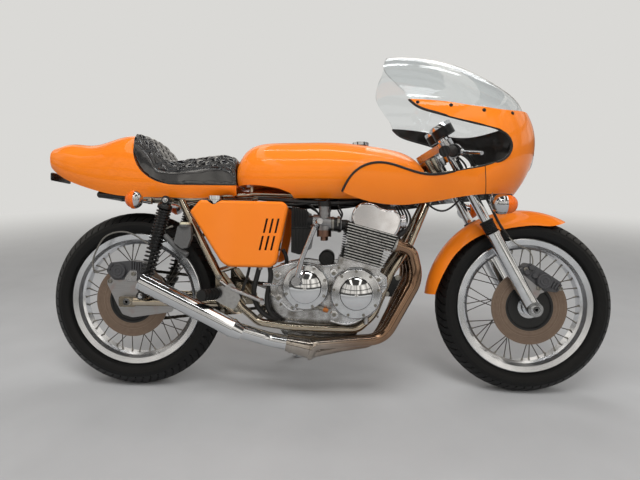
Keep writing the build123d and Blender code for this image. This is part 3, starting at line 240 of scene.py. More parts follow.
mixed = put(tree, "MixShader", {0: ray.outputs["Is Glossy Ray"], 1: ambient.outputs[0], 2: hall.outputs[0]})
mixed = put(tree, "MixShader", {0: seen, 1: mixed.outputs[0], 2: shown.outputs[0]})
put(tree, "OutputWorld", {"Surface": mixed.outputs[0]})

softboxes = [
    # name, spot, aimed at, width, depth, watts, seen in reflections
    ("overhead_box", (-0.5, -1.5, 3.5), (0.0, 0.0, 0.5), 3.2, 1.2, 66, False),
    ("far_box", (0.9, 2.2, 3.2), (0.0, 0.1, 0.6), 2.6, 1.0, 30, False),
    ("camera_fill", (1.2, -3.3, 2.8), (0.1, 0.0, 0.6), 2.4, 1.4, 40, False),
    ("roof_strip_near", (-0.2, -1.9, 3.3), (0.0, 0.0, 0.6), 2.6, 0.14, 9, True),
    ("roof_strip_far", (0.2, 0.9, 3.6), (0.0, 0.0, 0.6), 2.6, 0.14, 9, True),
]
for name, spot, target, width, depth, watts, mirrored in softboxes:
    lamp_data = bpy.data.lights.new(name, "AREA")
    lamp_data.shape = "RECTANGLE"
    lamp_data.size = width
    lamp_data.size_y = depth
    lamp_data.energy = watts
    lamp = bpy.data.objects.new(name, lamp_data)
    lamp.location = spot
    lamp.rotation_euler = (Vector(target) - Vector(spot)).to_track_quat("-Z", "Y").to_euler()
    lamp.visible_glossy = mirrored
    bpy.context.collection.objects.link(lamp)


# Frame and swingarm
# Duplex cradle of round steel tube, brazed and bright nickel plated, with the swingarm plated to match.
# Nickel is warmer than chrome and hazes to straw where fumes and hands have reached it.
def two_tone(tree, place, size, detail, light, shade, **more):
    """Cloudy noise of a size in mm, and the colour that it mixes from two sRGB codes, as sockets."""
    cloud = put(tree, "TexNoise", {"Vector": place, "Scale": 1 / size, "Detail": detail, **more}).outputs[0]
    mixed = put(tree, "Mix", {0: cloud, 6: linear(light), 7: linear(shade)}, data_type="RGBA").outputs[2]
    return cloud, mixed


def where_all(tree, *tests):
    """1 where every test holds, else 0, as a socket: a test is a socket, a comparison and its numbers."""
    held = [put(tree, "Math", dict(enumerate([socket, *numbers])), operation=comparison).outputs[0]
            for socket, comparison, *numbers in tests]
    product = held[0]
    for other in held[1:]:
        product = put(tree, "Math", {0: product, 1: other}, operation="MULTIPLY").outputs[0]
    return product


def lay_on(tree, inputs):
    """Ends a material: one surface with these inputs goes to its output."""
    put(tree, "OutputMaterial", {"Surface": put(tree, "BsdfPrincipled", inputs).outputs[0]})


def dress(finish_name, *names):
    """Gives CAD nodes a material."""
    for name in names:
        for slot in node_of[name].material_slots:
            slot.material = bpy.data.materials[finish_name]


tree, place = finish("bright_nickel")
patina, plate = two_tone(tree, place, 60, 6.0, "#CFC6B6", "#A39784", Roughness=0.6)
haze = put(tree, "MapRange", {"Value": patina, "From Min": 0.3, "From Max": 0.7, "To Min": 0.08,
                              "To Max": 0.22})
axes = put(tree, "SeparateXYZ", {0: place}).outputs
outward = put(tree, "Math", {0: axes["Y"]}, operation="ABSOLUTE").outputs[0]
# the engine plates between the down tubes and the cases are painted black; the loop under the tail is
# coloured black too, for the dark strip under the cowl: partly a black tray there, partly painted shade
engine_plates = where_all(tree, (axes["X"], "COMPARE", 930.0, 56.0), (outward, "COMPARE", 103.0, 3.6),
                          (axes["Z"], "COMPARE", 393.0, 42.0))
# the loop under the tail: black as painted shade under the cowl, together with the black tray there
tail_loop_shade = where_all(tree, (axes["X"], "LESS_THAN", 20.0), (axes["Z"], "GREATER_THAN", 600.0))
paint_and_shade = put(tree, "Math", {0: engine_plates, 1: tail_loop_shade}, operation="MAXIMUM").outputs[0]
colour = put(tree, "Mix", {0: paint_and_shade, 6: plate, 7: linear("#191919")}, data_type="RGBA").outputs[2]
metal = put(tree, "Math", {0: 1.0, 1: paint_and_shade}, operation="SUBTRACT")
lay_on(tree, {"Base Color": colour, "Metallic": metal.outputs[0], "Roughness": haze.outputs[0]})
dress("bright_nickel", "frame", "swingarm")

# Chrome
# Bright chrome plate on the silencer, filler caps, side stand and axles, and on rings and nuts further on.
# It mirrors its surroundings, broken only by faint smears from handling.
tree, place = finish("mirror_chrome")
smudge = put(tree, "TexNoise", {"Vector": place, "Scale": 1 / 25, "Detail": 5.0}).outputs[0]
haze = put(tree, "MapRange", {"Value": smudge, "From Min": 0.35, "From Max": 0.7, "To Min": 0.04,
                              "To Max": 0.15})
lay_on(tree, {"Base Color": linear("#D3D5D7"), "Metallic": 1.0, "Roughness": haze.outputs[0]})
dress("mirror_chrome", "silencer", "filler_caps", "side_stand", "front_axle", "rear_axle")


# Engine covers
# Chromed domes inside flanges of bare buffed alloy, each flange turned with a fine ring.
def from_line(tree, place, centre):
    """Distance in mm from the line along Y through a point, as a socket: the length of (x, 0, z) from it."""
    flat = put(tree, "VectorMath", {0: place, 1: centre}, operation="SUBTRACT").outputs[0]
    flat = put(tree, "VectorMath", {0: flat, 1: (1, 0, 1)}, operation="MULTIPLY").outputs[0]
    return put(tree, "VectorMath", {0: flat}, operation="LENGTH").outputs["Value"]


clutch_centre, points_centre = (646.0, 0.0, 393.0), (819.0, 0.0, 372.0)
tree, place = finish("cover_chrome")
radial = []
for centre, dome in ((clutch_centre, 52.0), (points_centre, 53.0)):
    out = from_line(tree, place, centre)
    radial.append(put(tree, "Math", {0: out, 1: dome}, operation="SUBTRACT").outputs[0])
beyond = put(tree, "Math", {0: radial[0], 1: radial[1]}, operation="MINIMUM").outputs[0]
flange = put(tree, "MapRange", {"Value": beyond, "From Min": 0.0, "From Max": 1.0}).outputs[0]
groove = put(tree, "Math", {0: beyond, 1: 1.5, 2: 1.4}, operation="COMPARE").outputs[0]
smudge, bare = two_tone(tree, place, 25, 5.0, "#E6E8EA", "#BDBFC1")
colour = put(tree, "Mix", {0: flange, 6: linear("#D9DBDD"), 7: bare}, data_type="RGBA").outputs[2]
colour = put(tree, "Mix", {0: groove, 6: colour, 7: linear("#3A3733")}, data_type="RGBA").outputs[2]
rough = put(tree, "MapRange", {"Value": smudge, "From Min": 0.35, "From Max": 0.7, "To Min": 0.03,
                               "To Max": 0.09})
rough = put(tree, "Mix", {0: flange, 2: rough.outputs[0], 3: 0.17}).outputs[0]
lay_on(tree, {"Base Color": colour, "Metallic": 1.0, "Roughness": rough})
dress("cover_chrome", "engine_covers")

# Polished alloy
# Buffed aluminium of the yokes and the kick lever, with fine haze from handling.
tree, place = finish("buffed_alloy")
haze, colour = two_tone(tree, place, 30, 3.0, "#D2D3D5", "#AFB0B3")
rough = put(tree, "MapRange", {"Value": haze, "From Min": 0.3, "From Max": 0.75, "To Min": 0.16,
                               "To Max": 0.3})
lay_on(tree, {"Base Color": colour, "Metallic": 1.0, "Roughness": rough.outputs[0]})
dress("buffed_alloy", "fork_yokes", "kick_starter")

# Cam cover
# Aluminium cover buffed almost to a mirror on its crown.
tree, place = finish("buffed_cover")
haze, colour = two_tone(tree, place, 40, 4.0, "#E4E6EA", "#CDCACA")
rough = put(tree, "MapRange", {"Value": haze, "From Min": 0.3, "From Max": 0.7, "To Min": 0.06,
                               "To Max": 0.15})
lay_on(tree, {"Base Color": colour, "Metallic": 1.0, "Roughness": rough.outputs[0]})
dress("buffed_cover", "cam_cover")

# Crankcase
# Sand-cast aluminium cases, vapour blasted: pale and dull with a fine grain, stained along their joint.
tree, place = finish("blasted_alloy")
grain = put(tree, "TexNoise", {"Vector": place, "Scale": 1 / 1.6, "Detail": 3.0}).outputs[0]
stain = put(tree, "TexNoise", {"Vector": place, "Scale": 1 / 45, "Detail": 6.0}).outputs[0]
stain = put(tree, "MapRange", {"Value": stain, "From Min": 0.38, "From Max": 0.66}).outputs[0]
cast = put(tree, "Mix", {0: stain, 6: linear("#E3E5E8"), 7: linear("#8F8C87")}, data_type="RGBA").outputs[2]
level = put(tree, "SeparateXYZ", {0: place}).outputs["Z"]
joint = put(tree, "Math", {0: level, 1: 398.0, 2: 0.9}, operation="COMPARE").outputs[0]
colour = put(tree, "Mix", {0: joint, 6: cast, 7: linear("#26241F")}, data_type="RGBA").outputs[2]
bump = put(tree, "Bump", {"Height": grain, "Strength": 0.2, "Distance": 0.0004})
lay_on(tree, {"Base Color": colour, "Metallic": 1.0, "Roughness": 0.24, "Normal": bump.outputs[0]})
dress("blasted_alloy", "crankcase")

# Barrels and head
# Cast barrels painted satin black, with the outer edges of the fins machined back to bright metal. The head
# is bare alloy but is coloured black like them: painted shade, the dark between its fins.
# The bright edge is worn away in patches.
engine_origin = (834.0, 0.0, 479.0)
engine_tilt = math.radians(15.0)
fin_side = 188.0
fin_front, fin_flare = 80.6, 19 / 120
tree, place = finish("fin_black")
local = put(tree, "Mapping", {"Vector": place, "Location": engine_origin, "Rotation": (0, engine_tilt, 0)},
            vector_type="TEXTURE").outputs[0]
axes = put(tree, "SeparateXYZ", {0: local}).outputs
outward = put(tree, "Math", {0: axes["Y"]}, operation="ABSOLUTE").outputs[0]
side_edge = put(tree, "MapRange", {"Value": outward, "From Min": fin_side - 2.0, "From Max": fin_side - 0.8})
# the fins widen upward, so their front edge is bright from fin_front + fin_flare z on
edge_at = put(tree, "Math", {0: axes["Z"], 1: fin_flare, 2: fin_front}, operation="MULTIPLY_ADD").outputs[0]
past_edge = put(tree, "Math", {0: axes["X"], 1: edge_at}, operation="SUBTRACT").outputs[0]
front_edge = put(tree, "MapRange", {"Value": past_edge, "From Min": 0.0, "From Max": 1.0})
edge = put(tree, "Math", {0: side_edge.outputs[0], 1: front_edge.outputs[0]}, operation="MAXIMUM").outputs[0]
scuff = put(tree, "TexNoise", {"Vector": place, "Scale": 1 / 8, "Detail": 5.0}).outputs[0]
patches = put(tree, "MapRange", {"Value": scuff, "From Min": 0.2, "From Max": 0.5}).outputs[0]
worn = put(tree, "Math", {0: edge, 1: patches}, operation="MULTIPLY").outputs[0]
# black on the fins' faces: satin paint on the barrels, painted shade on the head
colour = put(tree, "Mix", {0: worn, 6: linear("#131313"), 7: linear("#C4C3BF")}, data_type="RGBA").outputs[2]
rough = put(tree, "MapRange", {"Value": worn, "To Min": 0.46, "To Max": 0.28})
metal = put(tree, "MapRange", {"Value": worn, "To Max": 0.55})
lay_on(tree, {"Base Color": colour, "Metallic": metal.outputs[0], "Roughness": rough.outputs[0]})
dress("fin_black", "cylinder_block", "cylinder_head")


# Screws of the engine
# Cheese-head screws of zinc-plated steel hold the round covers and the cases, in rings and in rows.
def turned(profile, around=16):
    """Solid of revolution about Z: rows of (radius, height) become points (r cos a, r sin a, h)."""
    radius, height = np.asarray(profile, float).T
    angle = np.linspace(0, 2 * math.pi, around, endpoint=False)
    points = np.stack([np.outer(radius, np.cos(angle)), np.outer(radius, np.sin(angle)),
                       np.outer(height, np.ones(around))], axis=-1)
    return grid(points, close_columns=True)


def copies(shape, spots, directions, ahead=(1.0, 0.13, 0.31)):
    """Copies of a shape: each goes to its spot with its Z along its direction and its X near ahead."""
    points, faces = shape
    spots = np.atleast_2d(np.asarray(spots, float))
    along = np.broadcast_to(np.asarray(directions, float), spots.shape)
    along = along / np.linalg.norm(along, axis=1, keepdims=True)
    first = np.asarray(ahead, float) - (along @ np.asarray(ahead, float))[:, None] * along
    first = first / np.linalg.norm(first, axis=1, keepdims=True)
    axes = np.stack([first, np.cross(along, first), along], axis=-1)
    moved = spots[:, None] + np.einsum("nij,pj->npi", axes, points)
    shifted = faces[None] + (np.arange(len(spots)) * len(points))[:, None, None]
    return moved.reshape(-1, 3), shifted.reshape(-1, faces.shape[1])


def joined(*shapes):
    """Several shapes as one."""
    starts = np.cumsum([0] + [len(points) for points, _ in shapes[:-1]])
    return (np.concatenate([points for points, _ in shapes]),
            np.concatenate([faces + start for (_, faces), start in zip(shapes, starts)]))


def shell(name, shape, finish_name, sharp=40.0):
    """Closed mesh object from a shape in mm of the upright machine, welded, its faces turned outward."""
    points, faces = shape
    mesh = bpy.data.meshes.new(name)
    mesh.from_pydata(on_bike(points).tolist(), [], faces.tolist())
    work = bmesh.new()
    work.from_mesh(mesh)
    bmesh.ops.remove_doubles(work, verts=work.verts, dist=1e-6)
    bmesh.ops.recalc_face_normals(work, faces=work.faces)
    work.to_mesh(mesh)
    work.free()
    mesh.shade_smooth()
    mesh.set_sharp_from_angle(angle=math.radians(sharp))
    mesh.materials.append(bpy.data.materials[finish_name])
    made = bpy.data.objects.new(name, mesh)
    bpy.context.collection.objects.link(made)
    return made


def smooth_line(points, count):
    """Natural cubic spline through points, by chord length, at evenly spaced steps."""
    knots = np.asarray(points, float)
    at = np.concatenate([[0], np.cumsum(np.linalg.norm(np.diff(knots, axis=0), axis=1))])
    gap = np.diff(at)
    matrix = np.eye(len(knots))
    target = np.zeros_like(knots)
    inner = np.arange(1, len(knots) - 1)
    matrix[inner, inner - 1] = gap[:-1]
    matrix[inner, inner] = 2 * (gap[:-1] + gap[1:])
    matrix[inner, inner + 1] = gap[1:]
    slope = np.diff(knots, axis=0) / gap[:, None]
    target[1:-1] = 6 * np.diff(slope, axis=0)
    bend = np.linalg.solve(matrix, target)
    where = np.linspace(0, at[-1], count)
    span = np.clip(np.searchsorted(at, where, side="right") - 1, 0, len(gap) - 1)
    width = gap[span][:, None]
    high = (where - at[span])[:, None] / width
    low = 1 - high
    return (low * knots[span] + high * knots[span + 1]
            + ((low ** 3 - low) * bend[span] + (high ** 3 - high) * bend[span + 1]) * width ** 2 / 6)


def tube(line, radius, sides=10, across=(0.0, 1.0, 0.0)):
    """Round tube about a line: point + r(cos a u + sin a v), with u across the line, closed at both ends."""
    heading = np.gradient(line, axis=0)
    heading /= np.linalg.norm(heading, axis=1, keepdims=True)
    first = np.asarray(across) - (heading @ np.asarray(across))[:, None] * heading
    first /= np.linalg.norm(first, axis=1, keepdims=True)
    second = np.cross(heading, first)
    angle = np.linspace(0, 2 * math.pi, sides, endpoint=False)[None, :, None]
    ring = np.cos(angle) * first[:, None] + np.sin(angle) * second[:, None]
    size = np.broadcast_to(radius, len(line))[:, None, None]
    walls = line[:, None] + size * ring
    ends = [np.repeat(line[[row]][:, None], sides, axis=1) for row in (0, -1)]
    return grid(np.concatenate([ends[0], walls, ends[1]]), close_columns=True)


def round_the(centre, radius, angles, y):
    """Spots on a circle about the Y direction: (x + r cos a, y, z + r sin a), at angles in degrees."""
    angles = np.radians(np.asarray(angles, float))
    return np.stack([centre[0] + radius * np.cos(angles), 0 * angles + y,
                     centre[2] + radius * np.sin(angles)], axis=-1)


tree, place = finish("zinc_steel")
_, colour = two_tone(tree, place, 5, 5.0, "#B9B7B0", "#6E6A61")
lay_on(tree, {"Base Color": colour, "Metallic": 1.0, "Roughness": 0.34})

screw_level = 169.3
screw = turned([(0, 2.2), (2.3, 2.2), (2.7, 5.2), (4.6, 5.2), (5.2, 4.4), (5.2, -4), (0, -4)])
clutch_ring = round_the(clutch_centre, 70, np.arange(8) * 45 + 20, -screw_level)
# the kick lever's boss takes the place of the screws near it
clutch_ring = clutch_ring[np.hypot(clutch_ring[:, 0] - 618, clutch_ring[:, 2] - 418) > 36]
points_ring = round_the(points_centre, 77, np.arange(9) * 40 + 10, -screw_level)
generator_ring = round_the(points_centre, 78, np.arange(9) * 40 + 10, screw_level)
case_row = np.array([(545, -152, 436), (560, -152, 330), (735, -152, 452), (735, -152, 300), (905, -152, 412),
                     (600, -152, 322), (708, -152, 318), (760, -152, 460)], float)
screws = joined(copies(screw, np.vstack([clutch_ring, points_ring, case_row]), (0, -1, 0)),
                copies(screw, np.vstack([generator_ring, case_row * (1, -1, 1)]), (0, 1, 0)))
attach(shell("engine_screws", screws, "zinc_steel"), "chassis")


# Casting details of the cases
# Half-round beads follow the joints of the cases, with lugs and bosses cast on and a seat round each cover.
def turned_ring(profile, around):
    """Ring of revolution about Z, as turned, with its profile closed on itself."""
    points, _ = turned(profile, around)
    return grid(points.reshape(len(profile), around, 3), close_rows=True, close_columns=True)


face = -152.0
bead_routes = [
    ([(521, 450), (560, 462), (635, 474), (701, 465), (758, 472)], 4.0, face),
    ([(524, 366), (560, 340), (592, 313), (660, 315), (729, 316)], 4.5, face),
    ([(733, 276), (790, 266), (846, 290), (886, 342)], 4.5, face),
    ([(733, 468), (735, 400), (733, 318)], 3.5, face),
    ([(921, 430), (923, 400), (905, 372)], 4.5, face),
    ([(498, 398), (530, 398), (562, 398)], 5.0, face),
    ([(898, 398), (912, 398), (922, 398)], 5.0, face),
    ([(566, 420), (548, 400), (546, 380), (560, 356)], 3.5, face),
    ([(560, 262), (690, 246), (838, 246)], 4.0, -88.0),
    ([(566, 240), (690, 226), (830, 226)], 4.0, -88.0),
    ([(580, 218), (690, 207), (818, 207)], 4.0, -88.0),
]
beads = []
for outline, half_round, y in bead_routes:
    outline = np.array(outline, float)
    path = smooth_line(np.c_[outline[:, 0], 0 * outline[:, 0] + y, outline[:, 1]], 26)
    beads.append(tube(path, half_round, sides=10))
    beads.append(tube(path * (1, -1, 1), half_round, sides=10))
lug = turned([(0, 0), (6, 0), (8.5, 2), (9.5, 26), (7.5, 29), (0, 29)], around=20)
lugs = copies(lug, [(794, -140, 292), (856, -140, 292), (610, -146, 336), (700, -146, 340)], (0, 0, -1))
boss = turned([(0, -3), (15, -3), (14, 5), (10, 7), (0, 7)], around=24)
boss_spots = np.array([(x, face, z) for x, z in ((548, 430), (552, 352), (742, 440), (896, 420), (745, 298))])
bosses = copies(boss, boss_spots, (0, -1, 0))
cover_seats = [copies(turned_ring([(inner, -4), (inner, 4), (inner + 2, 6), (outer - 2, 6), (outer, 3),
                                   (outer, -4)], 56), (x, face, z), (0, -1, 0))
               for inner, outer, (x, _, z) in ((78.5, 84.5, clutch_centre), (86.5, 91.5, points_centre))]
casting = joined(*beads, lugs, bosses, *cover_seats)
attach(shell("case_details", casting, "blasted_alloy"), "chassis")
boss_height = 7
socket = turned([(0, 1.5), (3, 1.5), (3, 6), (6.6, 6), (7.2, 5), (7.2, -1), (0, -1)], around=18)
case_bolts = copies(socket, boss_spots - (0, boss_height, 0), (0, -1, 0))
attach(shell("case_bolts", case_bolts, "zinc_steel"), "chassis")

# Starter
# Round motor painted satin black, lying across the cases behind the barrels.
# Its flat ends are stepped, with a raised ring round the middle.
motor_spot = (716, 4, 488)
motor_half = [(0, 94), (7, 94), (7, 97), (10, 97), (10, 94), (24, 94), (27, 92), (27, 80), (29, 78)]
motor = turned(motor_half + [(radius, -height) for radius, height in motor_half[::-1]], 40)
starter_motor = shell("starter_motor", copies(motor, motor_spot, (0, 1, 0)), "fin_black", sharp=25)
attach(starter_motor, "chassis")

# Pressure switch
# Small switch in the cases' lower edge: a bright hexagon body with a copper-coloured cap.
tree, place = finish("copper_cap")
_, colour = two_tone(tree, place, 4, 4.0, "#D98A4E", "#9A5A2C")
lay_on(tree, {"Base Color": colour, "Metallic": 0.8, "Roughness": 0.35})
switch_way = (0.93, -0.1, -0.35)
switch_body = copies(turned([(0, 0), (5, 0), (5, 20), (8, 21), (8, 34), (0, 34)], 6), (676, -164, 330),
                     switch_way)
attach(shell("switch_body", switch_body, "zinc_steel"), "chassis")
switch_cap = copies(turned([(0, 0), (7.5, 0), (8.5, 6), (7, 17), (0, 19)], 18), (708, -167.5, 318),
                    switch_way)
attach(shell("switch_cap", switch_cap, "copper_cap"), "chassis")

# Frame bolts
# Zinc-plated hexagon bolts on washers hold the engine plates and the footrests' hangers, alike on both sides.
bolt = turned([(0, 6.0), (6.2, 6.0), (7.4, 5.2), (7.4, 0), (0, 0)], around=6)
washer = turned([(0, 1.6), (9.6, 1.6), (9.6, 0), (0, 0)], around=20)
plate_bolts = np.array([(969, -106, 424), (930, -106, 366), (893, -106, 404)], float)
frame_bolts = np.array([(340, -138, 420), (352, -138, 300), (400, -138, 306)], float)
bolts = joined(*[copies(turned_part, np.vstack([plate_bolts, frame_bolts]) * (1, side, 1), (0, -side, 0))
                 for turned_part in (bolt, washer) for side in (1, -1)])
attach(shell("frame_bolts", bolts, "zinc_steel"), "chassis")

# Spark plugs' leads
# Moulded rubber caps push over the four plugs in the head's front, and a rubber lead runs up from each.
tree, place = finish("black_rubber")
scuff, colour = two_tone(tree, place, 6, 4.0, "#101010", "#262524")
bump = put(tree, "Bump", {"Height": scuff, "Strength": 0.2, "Distance": 0.0004})
lay_on(tree, {"Base Color": colour, "Roughness": 0.5, "Normal": bump.outputs[0]})
cylinder_y = (np.arange(4) - 1.5) * 94.0
cap_radius, lead_radius = 8.0, 3.6
leads = joined(*[tube(smooth_line([(952, y, 560), (985, y, 588), (1010, y * 0.8, 628),
                                   (985, y * 0.6, 690)], 28),
                      np.r_[np.full(8, cap_radius), np.full(20, lead_radius)]) for y in cylinder_y])
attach(shell("plug_leads", leads, "black_rubber"), "chassis")

# Carburettors
# Die-cast zinc bodies gone grey, float bowls stained brown by fuel, caps and inlet rubbers black.
tree, place = finish("carburettor_alloy")
axes = put(tree, "SeparateXYZ", {0: place}).outputs
grain, body = two_tone(tree, place, 3, 4.0, "#B4B5B6", "#77767A")
bowl = put(tree, "MapRange", {"Value": axes["Z"], "From Min": 590.0, "From Max": 586.0}).outputs[0]
body = put(tree, "Mix", {0: bowl, 6: body, 7: linear("#86685A")}, data_type="RGBA").outputs[2]
cap = put(tree, "MapRange", {"Value": axes["Z"], "From Min": 669.5, "From Max": 670.5}).outputs[0]
rubber = put(tree, "Math", {0: axes["X"], 1: 748.0, 2: 17.0}, operation="COMPARE").outputs[0]
black = put(tree, "Math", {0: cap, 1: rubber}, operation="MAXIMUM").outputs[0]
colour = put(tree, "Mix", {0: black, 6: body, 7: linear("#121212")}, data_type="RGBA").outputs[2]
metal = put(tree, "Math", {0: 1.0, 1: black}, operation="SUBTRACT")
rough = put(tree, "MapRange", {"Value": grain, "To Min": 0.3, "To Max": 0.5})
lay_on(tree, {"Base Color": colour, "Metallic": metal.outputs[0], "Roughness": rough.outputs[0]})
dress("carburettor_alloy", "carburettors")

hose_clip = turned_ring([(22, -4), (24.6, -4), (24.6, 4), (22, 4)], 30)
clip_spots = [(x, y, z) for x, z in ((737, 612), (757, 614)) for y in cylinder_y]
hose_clips = copies(hose_clip, clip_spots, (1, 0, 0))
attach(shell("carburettor_clips", hose_clips, "zinc_steel"), "chassis")

throttle = joined(*[tube(smooth_line([(707, y, 678), (716, y * 0.9, 692), (765, y * 0.5, 700),
                                      (850, y * 0.3, 692)], 24), 3.2) for y in cylinder_y])
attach(shell("throttle_cables", throttle, "black_rubber"), "chassis")

# Wiring under the tank
# A loom in black tape runs along each side under the tank, with thin branches to the carburettors.
# Two moulded ignition coils hang between its two halves.
loom_branches = [
    ([(470, 108, 700), (545, 110, 694), (602, 110, 690), (690, 108, 686), (780, 106, 687),
      (860, 92, 700)], 7.5),
    ([(548, 112, 682), (610, 113, 679), (672, 108, 684), (740, 104, 678), (800, 96, 690)], 4.2),
    ([(640, 108, 684), (668, 112, 668), (684, 118, 650), (690, 124, 634)], 3.4),
    ([(752, 106, 684), (762, 112, 664), (770, 118, 646), (766, 122, 632)], 3.4),
]
loom = joined(*[tube(smooth_line(np.array(branch, float) * (1, side, 1), 50), radius)
                for branch, radius in loom_branches for side in (-1, 1)])
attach(shell("wiring_loom", loom, "black_rubber"), "chassis")
coil = turned([(0, -44), (7, -44), (7, -36), (19, -34), (20, -30), (20, 30), (19, 34), (7, 36), (7, 44),
               (0, 44)], 24)
coils = copies(coil, [(790, -64, 704), (790, 64, 704)], (1, 0, 0))
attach(shell("ignition_coils", coils, "black_rubber"), "chassis")

# Hoses behind the engine
# Two oil hoses of black rubber run from the tank to the cases, with a breather and the battery's cable.
oil_hoses = joined(
    tube(smooth_line([(520, -150, 466), (523, -150, 420), (508, -128, 352), (518, -118, 296),
                      (560, -96, 262)], 40), 9.0),
    tube(smooth_line([(486, -152, 466), (470, -140, 410), (462, -128, 350), (488, -126, 300),
                      (546, -104, 262)], 40), 9.0),
    tube(smooth_line([(562, -128, 520), (575, -120, 480), (566, -112, 450), (556, -90, 430)], 30), 7.0),
    tube(smooth_line([(438, -120, 560), (446, -128, 470), (430, -132, 400), (412, -134, 352)], 30), 5.0),
)
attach(shell("oil_hoses", oil_hoses, "black_rubber"), "chassis")
union = turned([(0, 13), (7, 13), (8, 12), (8, 5), (11.5, 5), (11.5, -5), (0, -5)], around=6)
unions = copies(union, [(560, -96, 262), (546, -104, 262), (520, -150, 462), (486, -152, 462)],
                [(-1, -0.4, 0.5), (-1, -0.3, 0.6), (0, 0, -1), (0, 0, -1)])
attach(shell("hose_unions", unions, "zinc_steel"), "chassis")

# Air filter box
# Moulded black plastic with a fine spark texture.
tree, place = finish("moulded_black")
pebble = put(tree, "TexNoise", {"Vector": place, "Scale": 1 / 1.5, "Detail": 2.0}).outputs[0]
_, colour = two_tone(tree, place, 40, 5.0, "#0A0A0B", "#191919")
bump = put(tree, "Bump", {"Height": pebble, "Strength": 0.3, "Distance": 0.0003})
lay_on(tree, {"Base Color": colour, "Roughness": 0.34, "Specular IOR Level": 0.35, "Normal": bump.outputs[0]})
dress("moulded_black", "airbox", "instruments")
ribs = joined(*[tube(smooth_line([(x + 3, side * 159.5, 600), (x + 1, side * 161, 632),
                                  (x, side * 157, 667 - (x - 594) * 0.215),
                                  (x, side * 132, 668.5 - (x - 594) * 0.215)], 18), 2.8, sides=8)
                for x in (601, 610, 619, 628, 637, 645) for side in (-1, 1)])
band = joined(*[tube(smooth_line([(596, side * 160, 596), (628, side * 160, 597), (661, side * 160, 598)], 8),
                     3.0) for side in (-1, 1)])
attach(shell("airbox_ribs", joined(ribs, band), "moulded_black"), "chassis")

# Exhaust
# Plated header pipes, tinted bronze by heat and darkest at their bends; the collector is straw coloured.
tree, place = finish("heat_tinted_steel")
tint, hot = two_tone(tree, place, 70, 5.0, "#B3947B", "#775B47")
ahead = put(tree, "SeparateXYZ", {0: place}).outputs["X"]
heat = put(tree, "MapRange", {"Value": ahead, "From Min": 640.0, "From Max": 900.0}).outputs[0]
cool = put(tree, "Mix", {0: tint, 6: linear("#C4BEB6"), 7: linear("#8F877E")}, data_type="RGBA").outputs[2]
colour = put(tree, "Mix", {0: heat, 6: cool, 7: hot}, data_type="RGBA").outputs[2]
rough = put(tree, "MapRange", {"Value": tint, "From Min": 0.3, "From Max": 0.7, "To Min": 0.06,
                               "To Max": 0.17})
lay_on(tree, {"Base Color": colour, "Metallic": 1.0, "Roughness": rough.outputs[0]})
dress("heat_tinted_steel", "exhaust_headers")

# Collector
# Pressed steel cup that gathers the four pipes, with a lobe for each, and round where the tail pipe leaves.
pipe_radius, outlet_radius, cup_front, cup_rear = 19.0, 42.5, 698.0, 664.0
entries = np.array([(-148.6, 194.2), (-120.9, 193.4), (-101.5, 163.4), (-117.5, 162.6)])
middle, outlet = np.array([-136.0, 178.5]), np.array([-136.0, 177.2])
cup_columns = 96
turn_by = np.linspace(0, 2 * math.pi, cup_columns, endpoint=False)
ray_way = np.stack([np.cos(turn_by), np.sin(turn_by)], axis=-1)
offset = entries - middle
ahead_part = ray_way @ offset.T
side_part = ray_way[:, :1] * offset[:, 1] - ray_way[:, 1:] * offset[:, 0]
inside = (pipe_radius + 1.6) ** 2 - side_part ** 2
lobe = np.max(np.where(inside > 0, ahead_part + np.sqrt(np.maximum(inside, 0)), 12.0), axis=1)
lobe = np.mean([np.roll(lobe, shift) for shift in (-2, -1, 0, 1, 2)], axis=0)
rows = []
for share in np.r_[0.0, 0.0, np.linspace(0, 1, 12), 1.0]:
    blend = share * share * (3 - 2 * share)
    size = (1 - blend) * outlet_radius + blend * lobe
    centre = (1 - share) * outlet + share * middle
    level = np.full(cup_columns, cup_rear + share * (cup_front - cup_rear))
    rows.append(np.c_[level, centre + ray_way * size[:, None]])
rows = np.array(rows)
rows[0, :, 1:] = outlet
rows[-1, :, 1:] = middle
cup = grid(rows, close_columns=True)
weld = turned_ring([(42, -5), (44.5, -3.5), (44.5, 3.5), (42, 5)], 48)
weld = copies(weld, (666, -136, 178), (-0.983, 0, 0.182))
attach(shell("collector_cup", joined(cup, weld), "heat_tinted_steel"), "chassis")

# Rims
# Shouldered rims of polished aluminium; turning has left fine rings that follow the wheel.
wheel_centres = {"rear": (0.0, 0.0, 325.0), "front": (1445.0, 0.0, 320.0)}
for end, centre in wheel_centres.items():
    tree, place = finish(end + "_rim_alloy")
    radius = from_line(tree, place, centre)
    rings = put(tree, "TexNoise", {"W": radius, "Scale": 1 / 1.2, "Detail": 3.0},
                noise_dimensions="1D").outputs[0]
    cloud, colour = two_tone(tree, place, 60, 2.0, "#ECEEF1", "#D5D8DC")
    rough = put(tree, "MapRange", {"Value": cloud, "From Min": 0.3, "From Max": 0.7, "To Min": 0.2,
                                   "To Max": 0.26})
    bump = put(tree, "Bump", {"Height": rings, "Strength": 0.015, "Distance": 0.0003})
    lay_on(tree, {"Base Color": colour, "Metallic": 1.0, "Roughness": rough.outputs[0],
                  "Normal": bump.outputs[0]})
    dress(end + "_rim_alloy", end + "_rim", end + "_hub")

